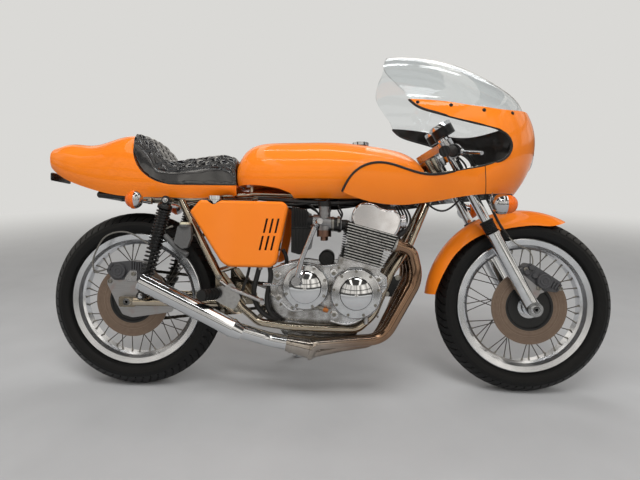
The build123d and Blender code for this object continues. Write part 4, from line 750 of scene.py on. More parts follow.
# Discs
# Cast iron rings with a brown film of surface rust, scored by the pads, on carriers painted black.
for end, centre in wheel_centres.items():
    tree, place = finish(end + "_disc_iron")
    radius = from_line(tree, place, centre)
    score = put(tree, "TexNoise", {"W": radius, "Scale": 1 / 2.5, "Detail": 4.0},
                noise_dimensions="1D").outputs[0]
    _, film = two_tone(tree, place, 12, 8.0, "#8A7666", "#5F4D41", Roughness=0.7)
    scored = put(tree, "MapRange", {"Value": score, "From Min": 0.45, "From Max": 0.75, "To Max": 0.5})
    film = put(tree, "Mix", {0: scored.outputs[0], 6: film, 7: linear("#AC9B89")},
               data_type="RGBA").outputs[2]
    carrier = put(tree, "MapRange", {"Value": radius, "From Min": 85.5, "From Max": 84.5}).outputs[0]
    colour = put(tree, "Mix", {0: carrier, 6: film, 7: linear("#161616")}, data_type="RGBA").outputs[2]
    metal = put(tree, "MapRange", {"Value": carrier, "To Min": 0.6, "To Max": 0.0})
    bump = put(tree, "Bump", {"Height": score, "Strength": 0.25, "Distance": 0.0003})
    lay_on(tree, {"Base Color": colour, "Metallic": metal.outputs[0], "Roughness": 0.44,
                  "Normal": bump.outputs[0]})
    dress(end + "_disc_iron", end + "_disc")

# Spokes and nipples
# Forty laced steel spokes to a wheel, their zinc gone dull grey, each screwed into a nipple in the rim.
tree, place = finish("dull_spoke")
_, colour = two_tone(tree, place, 9, 4.0, "#77726A", "#3B3733")
lay_on(tree, {"Base Color": colour, "Metallic": 0.85, "Roughness": 0.45})
dress("dull_spoke", "front_spokes", "rear_spokes")

nipple = turned([(0, 0), (1.9, 0), (3.0, 1.5), (3.0, 11), (4.6, 12), (4.6, 17), (0, 17)], around=8)
rim_seat, nipple_setback = 210.0, 15
for end, flange, flange_y in (("front", 52.0, 30.0), ("rear", 60.0, 32.0)):
    side, lead, number = (a.ravel() for a in np.meshgrid((-1, 1), (-1, 1), np.arange(10), indexing="ij"))
    hub_angle = np.radians(number * 36 + np.where(lead > 0, 18, 0) + np.where(side > 0, 9, 0))
    rim_angle = hub_angle + lead * math.radians(54)
    hub_end = np.stack([flange * np.cos(hub_angle), side * (flange_y + lead * 4.5),
                        flange * np.sin(hub_angle)], -1)
    rim_end = np.stack([rim_seat * np.cos(rim_angle), side * 7.0, rim_seat * np.sin(rim_angle)], -1)
    reach = (rim_end - hub_end) / np.linalg.norm(rim_end - hub_end, axis=1, keepdims=True)
    nipples = copies(nipple, rim_end - reach * nipple_setback + wheel_centres[end], reach)
    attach(shell(end + "_nipples", nipples, "zinc_steel"), end + "_wheel")


# Tyres
# Black road tyres: a zigzag rib and two straight grooves round the crown, slanted sipes on the shoulders.
# Rubber is matt on the tread, where it scrubs grey, and a little shinier on the ribbed walls.
def arc(start, middle, end, count):
    """Points on the circle through three points: u + r(cos a, sin a), from start over middle to end."""
    (ax, ay), (bx, by), (cx, cy) = start, middle, end
    double = 2 * (ax * (by - cy) + bx * (cy - ay) + cx * (ay - by))
    aa, bb, cc = ax ** 2 + ay ** 2, bx ** 2 + by ** 2, cx ** 2 + cy ** 2
    ux = (aa * (by - cy) + bb * (cy - ay) + cc * (ay - by)) / double
    uy = (aa * (cx - bx) + bb * (ax - cx) + cc * (bx - ax)) / double
    first, mid, last = (math.atan2(y - uy, x - ux) for x, y in (start, middle, end))
    mid = first + (mid - first + math.pi) % (2 * math.pi) - math.pi
    last = mid + (last - mid + math.pi) % (2 * math.pi) - math.pi
    angle = np.linspace(first, last, count)
    radius = math.hypot(ax - ux, ay - uy)
    return ux + radius * np.cos(angle), uy + radius * np.sin(angle)


def tyre_shape(radius, half_width, blocks):
    """Rows across the tyre by columns round it: crown arc, wall arcs and beads, with grooves cut in."""
    crown, flange, seat, groove_depth = 50.0, 247.5, 31.0, 4.5
    rib_edge, zigzag_width = 9, 6
    tread_edge = half_width - 11
    centre = radius - crown
    edge = centre + math.sqrt(crown ** 2 - tread_edge ** 2)
    reach = crown * math.asin(tread_edge / crown)
    wall_middle, wall_count = (edge + 246) / 2, 26
    step = np.array([0.0, 2.0, 3.2, 8, 13, 14.2, 17.2, 18.4, 23, 28, 33, 38])
    step = np.append(step[step < reach - 4], reach)
    ring_cut = np.isin(np.round(step, 1), (0.0, 2.0, 14.2, 17.2))
    crown_r, crown_y = centre + crown * np.cos(step / crown), crown * np.sin(step / crown)
    wall_r, wall_y = arc((edge, tread_edge), (wall_middle + 4, half_width), (flange, seat), wall_count)
    rib = np.isin(np.arange(wall_count), (4, 5, 9, 10, 18, 19, 20)) * 0.9
    wall_r, wall_y = wall_r[1:], (wall_y + rib)[1:]
    inner_r = np.array([231.5, 231.5, 252, wall_middle, radius - 14])
    inner_y = np.array([30.5, 20, 22, half_width - 11, 8])
    half_r = np.concatenate([crown_r, wall_r, inner_r])
    half_y = np.concatenate([crown_y, wall_y, inner_y])
    rest = len(wall_r) + len(inner_r)
    cut = np.concatenate([ring_cut, np.zeros(rest, bool)])
    sipe = np.concatenate([np.clip((step - 18) / 2, 0, 1), [0.9, 0.8, 0.6, 0.3], np.zeros(rest - 4)])
    arc_at = np.concatenate([step, np.full(rest, reach)])
    lean_out = np.concatenate([step / crown, np.full(rest, reach / crown)])
    both = [np.concatenate([-a[:0:-1] if odd else a[:0:-1], a]) for a, odd in
            ((half_r, False), (half_y, True), (cut, False), (sipe, False), (arc_at, True), (lean_out, True))]
    row_r, row_y, cut, sipe, arc_at, lean_out = (a[:, None] for a in both)
    phase = np.array([0.0, 0.03, 0.11, 0.14, 0.36, 0.57, 0.79])
    turn_at = (np.arange(blocks)[:, None] + phase).ravel()[None]
    in_sipe = np.tile([0, 1, 1, 0, 0, 0, 0], blocks)[None]
    depth = groove_depth * np.clip(cut + sipe * in_sipe, 0, 1)
    zigzag = (np.abs((turn_at % 1) * 2 - 1) - 0.5) * zigzag_width * (np.abs(arc_at) < rib_edge)
    angle = turn_at / blocks * 2 * math.pi + 0.75 * np.clip(np.abs(arc_at) - rib_edge, 0, None) / radius
    out_r = row_r - depth * np.cos(lean_out)
    out_y = row_y - depth * np.sin(lean_out) + zigzag
    return grid(np.stack([out_r * np.cos(angle), out_y + 0 * angle, out_r * np.sin(angle)], axis=-1),
                close_rows=True, close_columns=True)


for end, radius, half_width, blocks in (("rear", 325.0, 55.0, 64), ("front", 320.0, 50.0, 64)):
    tree, place = finish(end + "_tyre_rubber")
    out = from_line(tree, place, wheel_centres[end])
    _, clean = two_tone(tree, place, 18, 7.0, "#060606", "#101010", Roughness=0.65)
    worn = put(tree, "MapRange", {"Value": out, "From Min": radius - 8, "From Max": radius - 1,
                                  "To Max": 0.8}).outputs[0]
    colour = put(tree, "Mix", {0: worn, 6: clean, 7: linear("#1D1C1B")}, data_type="RGBA").outputs[2]
    rough = put(tree, "MapRange", {"Value": worn, "To Min": 0.48, "To Max": 0.75})
    lay_on(tree, {"Base Color": colour, "Roughness": rough.outputs[0], "Specular IOR Level": 0.3})
    points, quads = tyre_shape(radius, half_width, blocks)
    tyre = shell(end + "_tyre_rubber", (points + wheel_centres[end], quads), end + "_tyre_rubber", sharp=32)
    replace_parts(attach(tyre, end + "_wheel"), end + "_tyre")

# Chain
# Roller chain of oiled steel: outer and inner link plates by turns, with a roller at each pin.
tree, place = finish("oiled_steel")
grime, colour = two_tone(tree, place, 7, 5.0, "#4A463F", "#191816")
rough = put(tree, "MapRange", {"Value": grime, "To Min": 0.25, "To Max": 0.6})
lay_on(tree, {"Base Color": colour, "Metallic": 0.9, "Roughness": rough.outputs[0]})
dress("oiled_steel", "rear_sprocket")

chain_y, pitch = 70.0, 15.875
rear_wrap, front_wrap = (0.0, 325.0, 98.5), (545.0, 332.0, 38.5)
centre_gap = math.hypot(front_wrap[0] - rear_wrap[0], front_wrap[1] - rear_wrap[1])
slant = math.atan2(front_wrap[1] - rear_wrap[1], front_wrap[0] - rear_wrap[0])
open_angle = math.acos((rear_wrap[2] - front_wrap[2]) / centre_gap)
rear_turn = np.linspace(slant + open_angle, slant + 2 * math.pi - open_angle, 200)
front_turn = np.linspace(slant - open_angle, slant + open_angle, 100)
loop = np.concatenate([[(x + r * math.cos(a), z + r * math.sin(a)) for a in turn_by]
                       for (x, z, r), turn_by in ((rear_wrap, rear_turn), (front_wrap, front_turn))])
loop = np.vstack([loop, loop[:1]])
run = np.concatenate([[0], np.cumsum(np.hypot(*np.diff(loop, axis=0).T))])
link_count = 2 * round(run[-1] / pitch / 2)
pin_at = np.arange(link_count + 1) * run[-1] / link_count
pins = np.stack([np.interp(pin_at, run, loop[:, i]) for i in (0, 1)], -1)
middle = (pins[1:] + pins[:-1]) / 2
heading = np.diff(pins, axis=0)
oval_count = 14
oval_angle = np.linspace(0, 2 * math.pi, oval_count, endpoint=False)
oval = np.stack([np.cos(oval_angle) * 13.2, np.sin(oval_angle) * (6.9 - 1.6 * np.sin(oval_angle) ** 4)],
                axis=-1)
plate_rows = np.array([(0, -0.8), (1, -0.8), (1, 0.8), (0, 0.8)])
plate_height = np.repeat(plate_rows[:, 1:], oval_count, axis=1)[..., None]
link = grid(np.concatenate([plate_rows[:, :1, None] * oval[None], plate_height], axis=-1), close_columns=True)
roller = turned([(0, -7.2), (2.6, -7.2), (2.6, -3.2), (5.0, -3.2), (5.0, 3.2), (2.6, 3.2), (2.6, 7.2),
                 (0, 7.2)], 8)
links = []
for offset, every in ((4.1, slice(0, None, 2)), (5.9, slice(1, None, 2))):
    for side in (-1, 1):
        for spot, way in zip(middle[every], heading[every]):
            plate_spot = (spot[0], chain_y + side * offset, spot[1])
            links.append(copies(link, plate_spot, (0, 1, 0), (way[0], 0, way[1])))
rollers = copies(roller, np.insert(pins[:-1], 1, chain_y, axis=1), (0, 1, 0))
chain = shell("roller_chain", joined(*links, rollers), "oiled_steel")
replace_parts(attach(chain, "chassis"), "drive_chain")

# Rear shock absorbers
# Coil springs wound close at the top and open below, over a damper, all painted gloss black.
# Rubber-bushed eyes top and bottom slide over the frame's and the swingarm's studs.
tree, place = finish("black_paint")
chip = put(tree, "TexNoise", {"Vector": place, "Scale": 1 / 4, "Detail": 6.0}).outputs[0]
bare = put(tree, "MapRange", {"Value": chip, "From Min": 0.7, "From Max": 0.74}).outputs[0]
colour = put(tree, "Mix", {0: bare, 6: linear("#111112"), 7: linear("#4D4A46")}, data_type="RGBA").outputs[2]
rough = put(tree, "MapRange", {"Value": chip, "To Min": 0.16, "To Max": 0.4})
lay_on(tree, {"Base Color": colour, "Roughness": rough.outputs[0]})

upper_stud, lower_stud = (150, 689.5), (63, 352.0)
shock_y, nut_y = 136, 147.5
coil_radius, wire_radius, coil_turns = 22.0, 3.7, 20
shock_parts = []
for side in (-1, 1):
    top, low = (np.array([x, side * shock_y, z]) for x, z in (upper_stud, lower_stud))
    length = np.linalg.norm(low - top)
    way = (low - top) / length
    body = turned([(0, 12), (15, 12), (23, 17), (25.5, 22), (25.5, 31), (20, 35), (18, 37), (18, 180),
                   (17, 184), (9, 186), (9, 262), (16, 264), (16, length * 0.86), (25.5, length * 0.865),
                   (25.5, length * 0.9), (20, length * 0.925), (17, length - 12), (0, length - 12)], 28)
    shock_parts.append(copies(body, top, way, (0, 1, 0)))
    share = np.linspace(0, 1, 520)
    coil_turn = 2 * math.pi * coil_turns * (1.35 * share - 0.35 * share ** 2)
    first = np.array([0, 1.0, 0])
    second = np.cross(way, first)
    coil = (top + way * (36 + (length * 0.86 - 38) * share)[:, None]
            + coil_radius * (np.cos(coil_turn)[:, None] * first + np.sin(coil_turn)[:, None] * second))
    shock_parts.append(tube(coil, wire_radius, sides=7, across=tuple(way)))
    eye = turned_ring([(7.1, -11), (15, -11), (15, 11), (7.1, 11)], 24)
    shock_parts.append(copies(eye, np.stack([top, low]), (0, 1, 0)))
shocks = shell("shock_absorbers", joined(*shock_parts), "black_paint")
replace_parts(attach(shocks, "chassis"), "rear_shocks")

dome_nut = turned([(0, 9), (3.5, 8.2), (6, 6), (7, 3.5), (9.2, 3.4), (9.2, 0), (0, 0)], around=18)
nuts = joined(*[copies(dome_nut, [(x, side * nut_y, z) for x, z in (upper_stud, lower_stud)], (0, side, 0))
                for side in (-1, 1)])
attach(shell("shock_nuts", nuts, "mirror_chrome"), "chassis")

# Bodywork paint
# Orange enamel sprayed over steel and fibreglass and clear-coated, gently uneven like hand-finished paint.
# A panel has a material of its own only where it also has a dark inside, slots or a seam.
orange, deep_orange = "#FC891B", "#F57B0C"


def enamel(name):
    """Starts the orange paint: its tree, the place on the machine, its colour and its coat's peel."""
    tree, place = finish(name)
    peel = put(tree, "TexNoise", {"Vector": place, "Scale": 1 / 6, "Detail": 2.0}).outputs[0]
    _, colour = two_tone(tree, place, 180, 3.0, orange, deep_orange)
    bump = put(tree, "Bump", {"Height": peel, "Strength": 0.06, "Distance": 0.0003}).outputs[0]
    return tree, place, colour, bump


def bake_on(tree, colour, bump):
    """Ends a painted material with its clear coat."""
    lay_on(tree, {"Base Color": colour, "Roughness": 0.5, "Specular IOR Level": 0.25,
                  "Coat Weight": 0.75, "Coat Roughness": 0.03, "Coat IOR": 1.4, "Coat Normal": bump})


def inner_face(tree, place, middle):
    """1 where a shell's face looks towards its middle, else 0: its normal against the way from there."""
    normal = put(tree, "TexCoord").outputs["Normal"]
    normal = put(tree, "Mapping", {"Vector": normal, "Rotation": (lean, 0, 0)}).outputs[0]
    outward = put(tree, "VectorMath", {0: place, 1: middle}, operation="SUBTRACT").outputs[0]
    facing = put(tree, "VectorMath", {0: normal, 1: outward}, operation="DOT_PRODUCT").outputs["Value"]
    return put(tree, "Math", {0: facing, 1: 0.0}, operation="LESS_THAN").outputs[0]


tree, place, colour, bump = enamel("orange_enamel")
bake_on(tree, colour, bump)
dress("orange_enamel", "fuel_tank", "left_side_cover", "front_fender")

# the cowl is fibreglass, black inside
tree, place, colour, bump = enamel("cowl_enamel")
inside = inner_face(tree, place, (20, 0, 800))
colour = put(tree, "Mix", {0: inside, 6: colour, 7: linear("#151413")}, data_type="RGBA").outputs[2]
bake_on(tree, colour, bump)
dress("cowl_enamel", "seat_cowl")

# the right cover is the oil tank: the floors of its slots are painted near black as painted shade inside
# them, and so is the well round the filler cap
tree, place, colour, bump = enamel("oil_tank_enamel")
axes = put(tree, "SeparateXYZ", {0: place}).outputs
deep = put(tree, "MapRange", {"Value": axes["Y"], "From Min": -183.0, "From Max": -181.0}).outputs[0]
in_rows = where_all(tree, (axes["X"], "COMPARE", 522.0, 38.0), (axes["Z"], "COMPARE", 572.0, 56.0))
slot_shade = put(tree, "Math", {0: deep, 1: in_rows}, operation="MULTIPLY").outputs[0]
well_shade = put(tree, "VectorMath", {0: place, 1: (330, -158, 690)}, operation="DISTANCE").outputs["Value"]
well_shade = put(tree, "Math", {0: well_shade, 1: 32.5}, operation="LESS_THAN").outputs[0]
dark = put(tree, "Math", {0: slot_shade, 1: well_shade}, operation="MAXIMUM").outputs[0]
# near black in the slots and in the well round the cap: painted shade in these recesses
colour = put(tree, "Mix", {0: dark, 6: colour, 7: linear("#0B0A09")}, data_type="RGBA").outputs[2]
bake_on(tree, colour, bump)
dress("oil_tank_enamel", "oil_tank")

# the fairing is black inside, and a seam parts its nose from each flank
tree, place, colour, bump = enamel("fairing_enamel")
inside = inner_face(tree, place, (1100, 0, 860))
axes = put(tree, "SeparateXYZ", {0: place}).outputs
# the seam passes x = 1230 at z = 797 and leans back by 12 in 90
seam_slant = -12 / 90
seam_at = put(tree, "Math", {0: axes["Z"], 1: seam_slant, 2: 1230 - 797 * seam_slant},
              operation="MULTIPLY_ADD").outputs[0]
seam = where_all(tree, (axes["X"], "COMPARE", seam_at, 1.3), (axes["Z"], "LESS_THAN", 812.0))
dark = put(tree, "Math", {0: seam, 1: inside}, operation="MAXIMUM").outputs[0]
colour = put(tree, "Mix", {0: dark, 6: colour, 7: linear("#120F0D")}, data_type="RGBA").outputs[2]
bake_on(tree, colour, bump)
dress("fairing_enamel", "fairing")


# Edge trims and screws of the fairing and the seat
# Black rubber edging covers the fairing's cut edges and runs between pad and cowl.
# Dome-headed screws hold the screen to the fairing's flange.
def skin_of(name):
    """Surface of a node, in mm of the upright machine, to seat small parts on."""
    mesh = node_of[name].data
    points = np.zeros(len(mesh.vertices) * 3, np.float32)
    mesh.vertices.foreach_get("co", points)
    return BVHTree.FromPolygons(off_bike(points.reshape(-1, 3)).tolist(),
                                [list(p.vertices) for p in mesh.polygons])


def seated(skin, x, z, y):
    """Points on a surface at x, z, with its normals: y becomes the nearest point's, four times over."""
    spots, normals = [], []
    for ahead, level in zip(x, z):
        spot = Vector((ahead, y, level))
        for _ in range(4):
            found, normal, _, _ = skin.find_nearest(spot)
            spot.y = found.y
        spots.append(tuple(spot))
        normals.append(tuple(normal))
    return np.array(spots), np.array(normals)


def edging(skin, outline, count, start_y, sunk, radius, sides):
    """Tubes along an (x, z) outline laid on both flanks of a surface, y a mean of seven points, sunk in."""
    outline = np.array(outline, float)
    route = smooth_line(np.c_[outline[:, 0], 0 * outline[:, 0], outline[:, 1]], count)
    tubes = []
    for side in (-1, 1):
        line, _ = seated(skin, route[:, 0], route[:, 2], side * start_y)
        line[:, 1] = np.convolve(np.pad(line[:, 1], 3, mode="edge"), np.ones(7) / 7,
                                 mode="valid") - side * sunk
        tubes.append(tube(line, radius, sides=sides))
    return joined(*tubes)


fairing_skin = skin_of("fairing")
opening = [(767, 718), (787, 757), (820, 792), (888, 813), (960, 798), (1045, 775), (1150, 786), (1262, 812),
           (1306, 836), (1319, 870), (1300, 905), (1225, 935), (1144, 956), (1065, 978), (1006, 1002),
           (984, 1022)]
trims = edging(fairing_skin, opening, 170, 222.0, sunk=1.0, radius=4.2, sides=10)
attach(shell("fairing_edging", trims, "black_rubber"), "chassis")

screw_x = np.array([1012.0, 1120.0, 1225.0, 1325.0])
screw_z = np.array([1012.0, 1001.0, 983.0, 979.0])
dome = turned([(0, 3.6), (3.4, 3.0), (5.8, 1.4), (6.3, -0.4), (6.3, -1.5), (0, -1.5)], around=16)
screw_parts = []
for side in (-1, 1):
    spots, normals = seated(fairing_skin, screw_x, screw_z, side * 225.0)
    normals *= np.sign(normals[:, 1:2]) * side
    screw_parts.append(copies(dome, spots, normals))
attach(shell("screen_screws", joined(*screw_parts), "black_paint"), "chassis")

pad_edge = [(16, 900), (18, 868), (28, 832), (48, 798), (82, 770), (125, 752.5), (169, 748.5), (280, 748.5),
            (388, 748.5)]
piping = edging(skin_of("seat_cowl"), pad_edge, 90, 118.0, sunk=1.5, radius=2.6, sides=8)
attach(shell("seat_piping", piping, "black_rubber"), "chassis")

# Seat pad
# Foam under glossy black vinyl, the top and the hump quilted in diamonds inside a plain border.
# The sewn channels pull the foam in, and the diamonds swell between them.
tree, place = finish("quilted_vinyl")
pore = put(tree, "TexVoronoi", {"Vector": place, "Scale": 1 / 1.8}).outputs["Distance"]
crease, colour = two_tone(tree, place, 34, 3.0, "#08090B", "#15171B", Distortion=0.8)
rough = put(tree, "MapRange", {"Value": crease, "From Min": 0.3, "From Max": 0.7, "To Min": 0.09,
                               "To Max": 0.18})
fine = put(tree, "Bump", {"Height": pore, "Strength": 0.03, "Distance": 0.0003})
bump = put(tree, "Bump", {"Height": crease, "Strength": 0.04, "Distance": 0.002, "Normal": fine.outputs[0]})
lay_on(tree, {"Base Color": colour, "Roughness": rough.outputs[0], "Normal": bump.outputs[0],
              "Specular IOR Level": 0.5, "Coat Weight": 1.0, "Coat Roughness": 0.04, "Coat IOR": 1.7,
              "Coat Normal": bump.outputs[0]})

pad_mesh = node_of["seat_pad"].data.copy()
pad_mesh.materials.clear()
pad_mesh.materials.append(bpy.data.materials["quilted_vinyl"])
pad = bpy.data.objects.new("quilted_pad", pad_mesh)
bpy.context.collection.objects.link(pad)
work = bmesh.new()
work.from_mesh(pad_mesh)
bmesh.ops.remove_doubles(work, verts=work.verts, dist=1e-5)
work.to_mesh(pad_mesh)
work.free()
for other in bpy.data.objects:
    other.select_set(False)
bpy.context.view_layer.objects.active = pad
pad.select_set(True)


def read_points(mesh):
    """All of a mesh's points as rows."""
    values = np.zeros(len(mesh.vertices) * 3, np.float32)
    mesh.vertices.foreach_get("co", values)
    return values.reshape(-1, 3).astype(float)


def read_normals(mesh):
    """The normals at all of a mesh's points as rows."""
    values = np.zeros(len(mesh.vertices) * 3, np.float32)
    mesh.vertex_normals.foreach_get("vector", values)
    return values.reshape(-1, 3).astype(float)


def spread(mesh, values, rounds):
    """Rows of values at a mesh's points, evened out: each round takes half of each from its neighbours."""
    ends = np.zeros(len(mesh.edges) * 2, np.int32)
    mesh.edges.foreach_get("vertices", ends)
    ends = ends.reshape(-1, 2)
    here, there = ends.ravel(), ends[:, ::-1].ravel()
    links = np.maximum(np.bincount(here, minlength=len(values)), 1)[:, None]
    for _ in range(rounds):
        total = [np.bincount(here, weights=column[there], minlength=len(values)) for column in values.T]
        values = 0.5 * values + 0.5 * np.stack(total, axis=-1) / links
    return values


def write_points(mesh, points):
    """Puts rows of points back into a mesh."""
    mesh.vertices.foreach_set("co", points.astype(np.float32).ravel())
    mesh.update()


voxel, shrink, cloth_steps, most_shift = 0.0042, 0.003, 20, 0.006
remesh = pad.modifiers.new("even_mesh", "REMESH")
remesh.mode = "VOXEL"
remesh.voxel_size = voxel
bpy.ops.object.modifier_apply(modifier="even_mesh")
pad_mesh = pad.data
shape_before = read_points(pad_mesh)
up_axis = lean_turn @ (0, 0, 1.0)
ahead_axis = np.array([1.0, 0, 0])
free = np.clip(read_normals(pad_mesh) @ (up_axis + 0.5 * ahead_axis) + 0.35, 0, 1)
write_points(pad_mesh, shape_before - read_normals(pad_mesh) * (shrink * free)[:, None])
start = read_points(pad_mesh)
cloth = pad.modifiers.new("stuffing", "CLOTH")
cloth.settings.use_pressure = True
cloth.settings.uniform_pressure_force = 4.0
cloth.settings.effector_weights.gravity = 0.0
for number in range(1, cloth_steps + 1):
    bpy.context.scene.frame_set(number)
swollen = read_points(pad.evaluated_get(bpy.context.evaluated_depsgraph_get()).data)
pad.modifiers.remove(cloth)
bpy.context.scene.frame_set(1)
# the vinyl is stretched over its foam, so the broad swelling stays, without the cloth's small wrinkles
shift = spread(pad_mesh, swollen - start, 160)
size = np.linalg.norm(shift, axis=1, keepdims=True)
shift *= np.minimum(1, most_shift / np.maximum(size, 1e-9))
write_points(pad_mesh, start + shift * free[:, None])
smooth = pad.modifiers.new("rounding", "SUBSURF")
smooth.levels = 1
smooth.render_levels = 1
bpy.ops.object.modifier_apply(modifier="rounding")
pad_mesh = pad.data
points = spread(pad_mesh, read_points(pad_mesh), 5)
write_points(pad_mesh, points)
normals = spread(pad_mesh, read_normals(pad_mesh), 12)
normals /= np.linalg.norm(normals, axis=1, keepdims=True)
upright = off_bike(points)
# distance along the pad's top line, from the tank up onto the hump, for the quilting
top_line = smooth_line([(389, 0, 826), (378, 0, 846), (345, 0, 855), (293, 0, 854), (216, 0, 842),
                        (164, 0, 831), (138, 0, 836), (117, 0, 850), (91, 0, 884), (59, 0, 920),
                        (33, 0, 938), (12, 0, 942)], 260)
top_at = np.concatenate([[0], np.cumsum(np.linalg.norm(np.diff(top_line, axis=0), axis=1))])
back_to_front = np.argsort(top_line[:, 0])
line_x, line_at, line_z = top_line[back_to_front, 0], top_at[back_to_front], top_line[back_to_front, 2]
along = np.interp(upright[:, 0], line_x, line_at)
top_height = np.interp(upright[:, 0], line_x, line_z)
slope = np.interp(upright[:, 0], line_x, np.gradient(line_at, line_x))
depth = np.maximum(top_height - 2 - upright[:, 2], 0) / np.clip(np.abs(slope), 1, None)
wide = (np.abs(upright[:, 1]) + depth) * np.sign(upright[:, 1])
plain_band, diamond, diamond_slant = 150.0, 50.0, 0.8
seam_half, border_half = 2.6, 3.0
puff_height, channel_depth, border_depth = 5.2, 2.0, 3.0
facing = np.clip((normals @ (up_axis + 0.55 * ahead_axis) + 0.55) / 0.3, 0, 1)
inside_border = np.clip((plain_band - np.abs(wide)) / 5, 0, 1) * facing
diagonals = [along * diamond_slant + wide, along * diamond_slant - wide]
to_line = diamond / math.sqrt(1 + diamond_slant ** 2)
nearest = np.min([np.abs((way / diamond + 0.5) % 1 - 0.5) * to_line for way in diagonals], axis=0)
channel = np.exp(-(nearest / seam_half) ** 2)
puff = np.abs(np.prod([np.sin(math.pi * way / diamond) for way in diagonals], axis=0)) ** 0.55
border_seam = np.exp(-((np.abs(wide) - plain_band) / border_half) ** 2) * facing
push = inside_border * (puff_height * puff - channel_depth * channel) - border_depth * border_seam
# the pad stays plain where it meets the cowl behind the hump, and the quilting starts over 14 mm
push *= np.clip((upright[:, 0] - 14) / 14, 0, 1)
write_points(pad_mesh, points + normals * (push / 1000)[:, None])
pad_mesh.shade_smooth()
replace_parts(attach(pad, "chassis"), "seat_pad")

# Screen
# Blown bubble of clear acrylic, 3 mm thick; its edges catch the light.
tree, place = finish("clear_acrylic")
scratch = put(tree, "TexNoise", {"Vector": place, "Scale": 1 / 30, "Detail": 6.0}).outputs[0]
rough = put(tree, "MapRange", {"Value": scratch, "From Min": 0.4, "From Max": 0.8, "To Min": 0.0,
                               "To Max": 0.08})
lay_on(tree, {"Base Color": linear("#F2F5F6"), "Roughness": rough.outputs[0], "IOR": 1.49,
              "Transmission Weight": 1.0})
dress("clear_acrylic", "windscreen")

# Headlamp
# Pressed reflector, plated inside and out, behind a domed lens with upright ribs.
# A chrome ring holds the lens flush with the fairing's nose.
tree, place = finish("ribbed_lamp_glass")
ribs = put(tree, "TexWave", {"Vector": place, "Scale": 1 / 40}, bands_direction="Y").outputs["Fac"]
bump = put(tree, "Bump", {"Height": ribs, "Strength": 0.6, "Distance": 0.002})
lay_on(tree, {"Base Color": linear("#F4F7F7"), "Roughness": 0.03, "IOR": 1.5, "Transmission Weight": 1.0,
              "Normal": bump.outputs[0]})
lamp_spot, nose = (1395.0, 0.0, 880.0), (1.0, 0.0, 0.0)
lens_radius, lens_wall = 70, 3.0
bowl = [(r, 8 + 44 * (r / lens_radius) ** 2) for r in np.linspace(8, lens_radius, 14)]
reflector = turned([(0, 6), *bowl, (72, 50), (72, 30), (50, 6), (10, 1), (0, 1)], around=48)
dome_rows = [(r, 64 - 10 * (r / lens_radius) ** 2) for r in np.linspace(0, lens_radius, 12)]
inner_rows = [(r, height - lens_wall) for r, height in dome_rows[-2::-1]]
lens = turned([*dome_rows, (lens_radius, 50.5), *inner_rows], around=48)
rim = turned_ring([(69, 52), (70, 57), (73, 58), (76, 55), (76, 40), (73, 40), (73, 50)], 48)
bulb = turned([(0, 30), (4, 29), (6, 25), (6, 17), (4, 12), (4, 5), (0, 5)], around=16)
lamp_bowl = shell("lamp_reflector", copies(reflector, lamp_spot, nose), "mirror_chrome")
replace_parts(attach(lamp_bowl, "chassis"), "headlamp")
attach(shell("lamp_lens", copies(lens, lamp_spot, nose), "ribbed_lamp_glass"), "chassis")
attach(shell("lamp_rim", copies(rim, lamp_spot, nose), "mirror_chrome"), "chassis")
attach(shell("lamp_bulb", copies(bulb, lamp_spot, nose), "zinc_steel"), "chassis")

# Tail lamp
# Small red lens in a chrome cup, over a black steel number bracket.
tree, place = finish("red_lamp")
axes = put(tree, "SeparateXYZ", {0: place}).outputs
low = put(tree, "Math", {0: axes["Z"], 1: 792.5}, operation="LESS_THAN").outputs[0]
cup = put(tree, "Math", {0: axes["X"], 1: -321.5}, operation="GREATER_THAN").outputs[0]
cells = put(tree, "TexVoronoi", {"Vector": place, "Scale": 1 / 4}).outputs["Distance"]
colour = put(tree, "Mix", {0: cup, 6: linear("#B00F22"), 7: linear("#C9CACC")}, data_type="RGBA").outputs[2]
colour = put(tree, "Mix", {0: low, 6: colour, 7: linear("#141414")}, data_type="RGBA").outputs[2]
metal = put(tree, "Math", {0: cup, 1: low}, operation="SUBTRACT", use_clamp=True)
bump = put(tree, "Bump", {"Height": cells, "Strength": 0.4, "Distance": 0.001})
lay_on(tree, {"Base Color": colour, "Roughness": 0.14, "Metallic": metal.outputs[0],
              "Normal": bump.outputs[0]})
dress("red_lamp", "tail_light")

# Turn signals
# Round chromed cups on short stems, each with a domed amber lens cut in rings.
tree, place = finish("amber_lamp")
axes = put(tree, "SeparateXYZ", {0: place}).outputs
rear_lens = put(tree, "Math", {0: axes["X"], 1: 49.0, 2: 23.0}, operation="COMPARE").outputs[0]
front_lens = put(tree, "Math", {0: axes["X"], 1: 1304.2}, operation="GREATER_THAN").outputs[0]
lens_part = put(tree, "Math", {0: rear_lens, 1: front_lens}, operation="MAXIMUM").outputs[0]
rings = put(tree, "TexWave", {"Vector": place, "Scale": 1 / 26}, bands_direction="X").outputs["Fac"]
smudge = put(tree, "TexNoise", {"Vector": place, "Scale": 1 / 20, "Detail": 4.0}).outputs[0]
colour = put(tree, "Mix", {0: lens_part, 6: linear("#C9CACC"), 7: linear("#EE6A05")},
             data_type="RGBA").outputs[2]
metal = put(tree, "Math", {0: 1.0, 1: lens_part}, operation="SUBTRACT")
strength = put(tree, "Math", {0: rings, 1: lens_part}, operation="MULTIPLY")
bump = put(tree, "Bump", {"Height": strength.outputs[0], "Strength": 0.5, "Distance": 0.0015})
rough = put(tree, "MapRange", {"Value": smudge, "From Min": 0.35, "From Max": 0.7, "To Min": 0.06,
                               "To Max": 0.18})
lay_on(tree, {"Base Color": colour, "Roughness": rough.outputs[0], "Metallic": metal.outputs[0],
              "Normal": bump.outputs[0]})
dress("amber_lamp", "turn_signals")

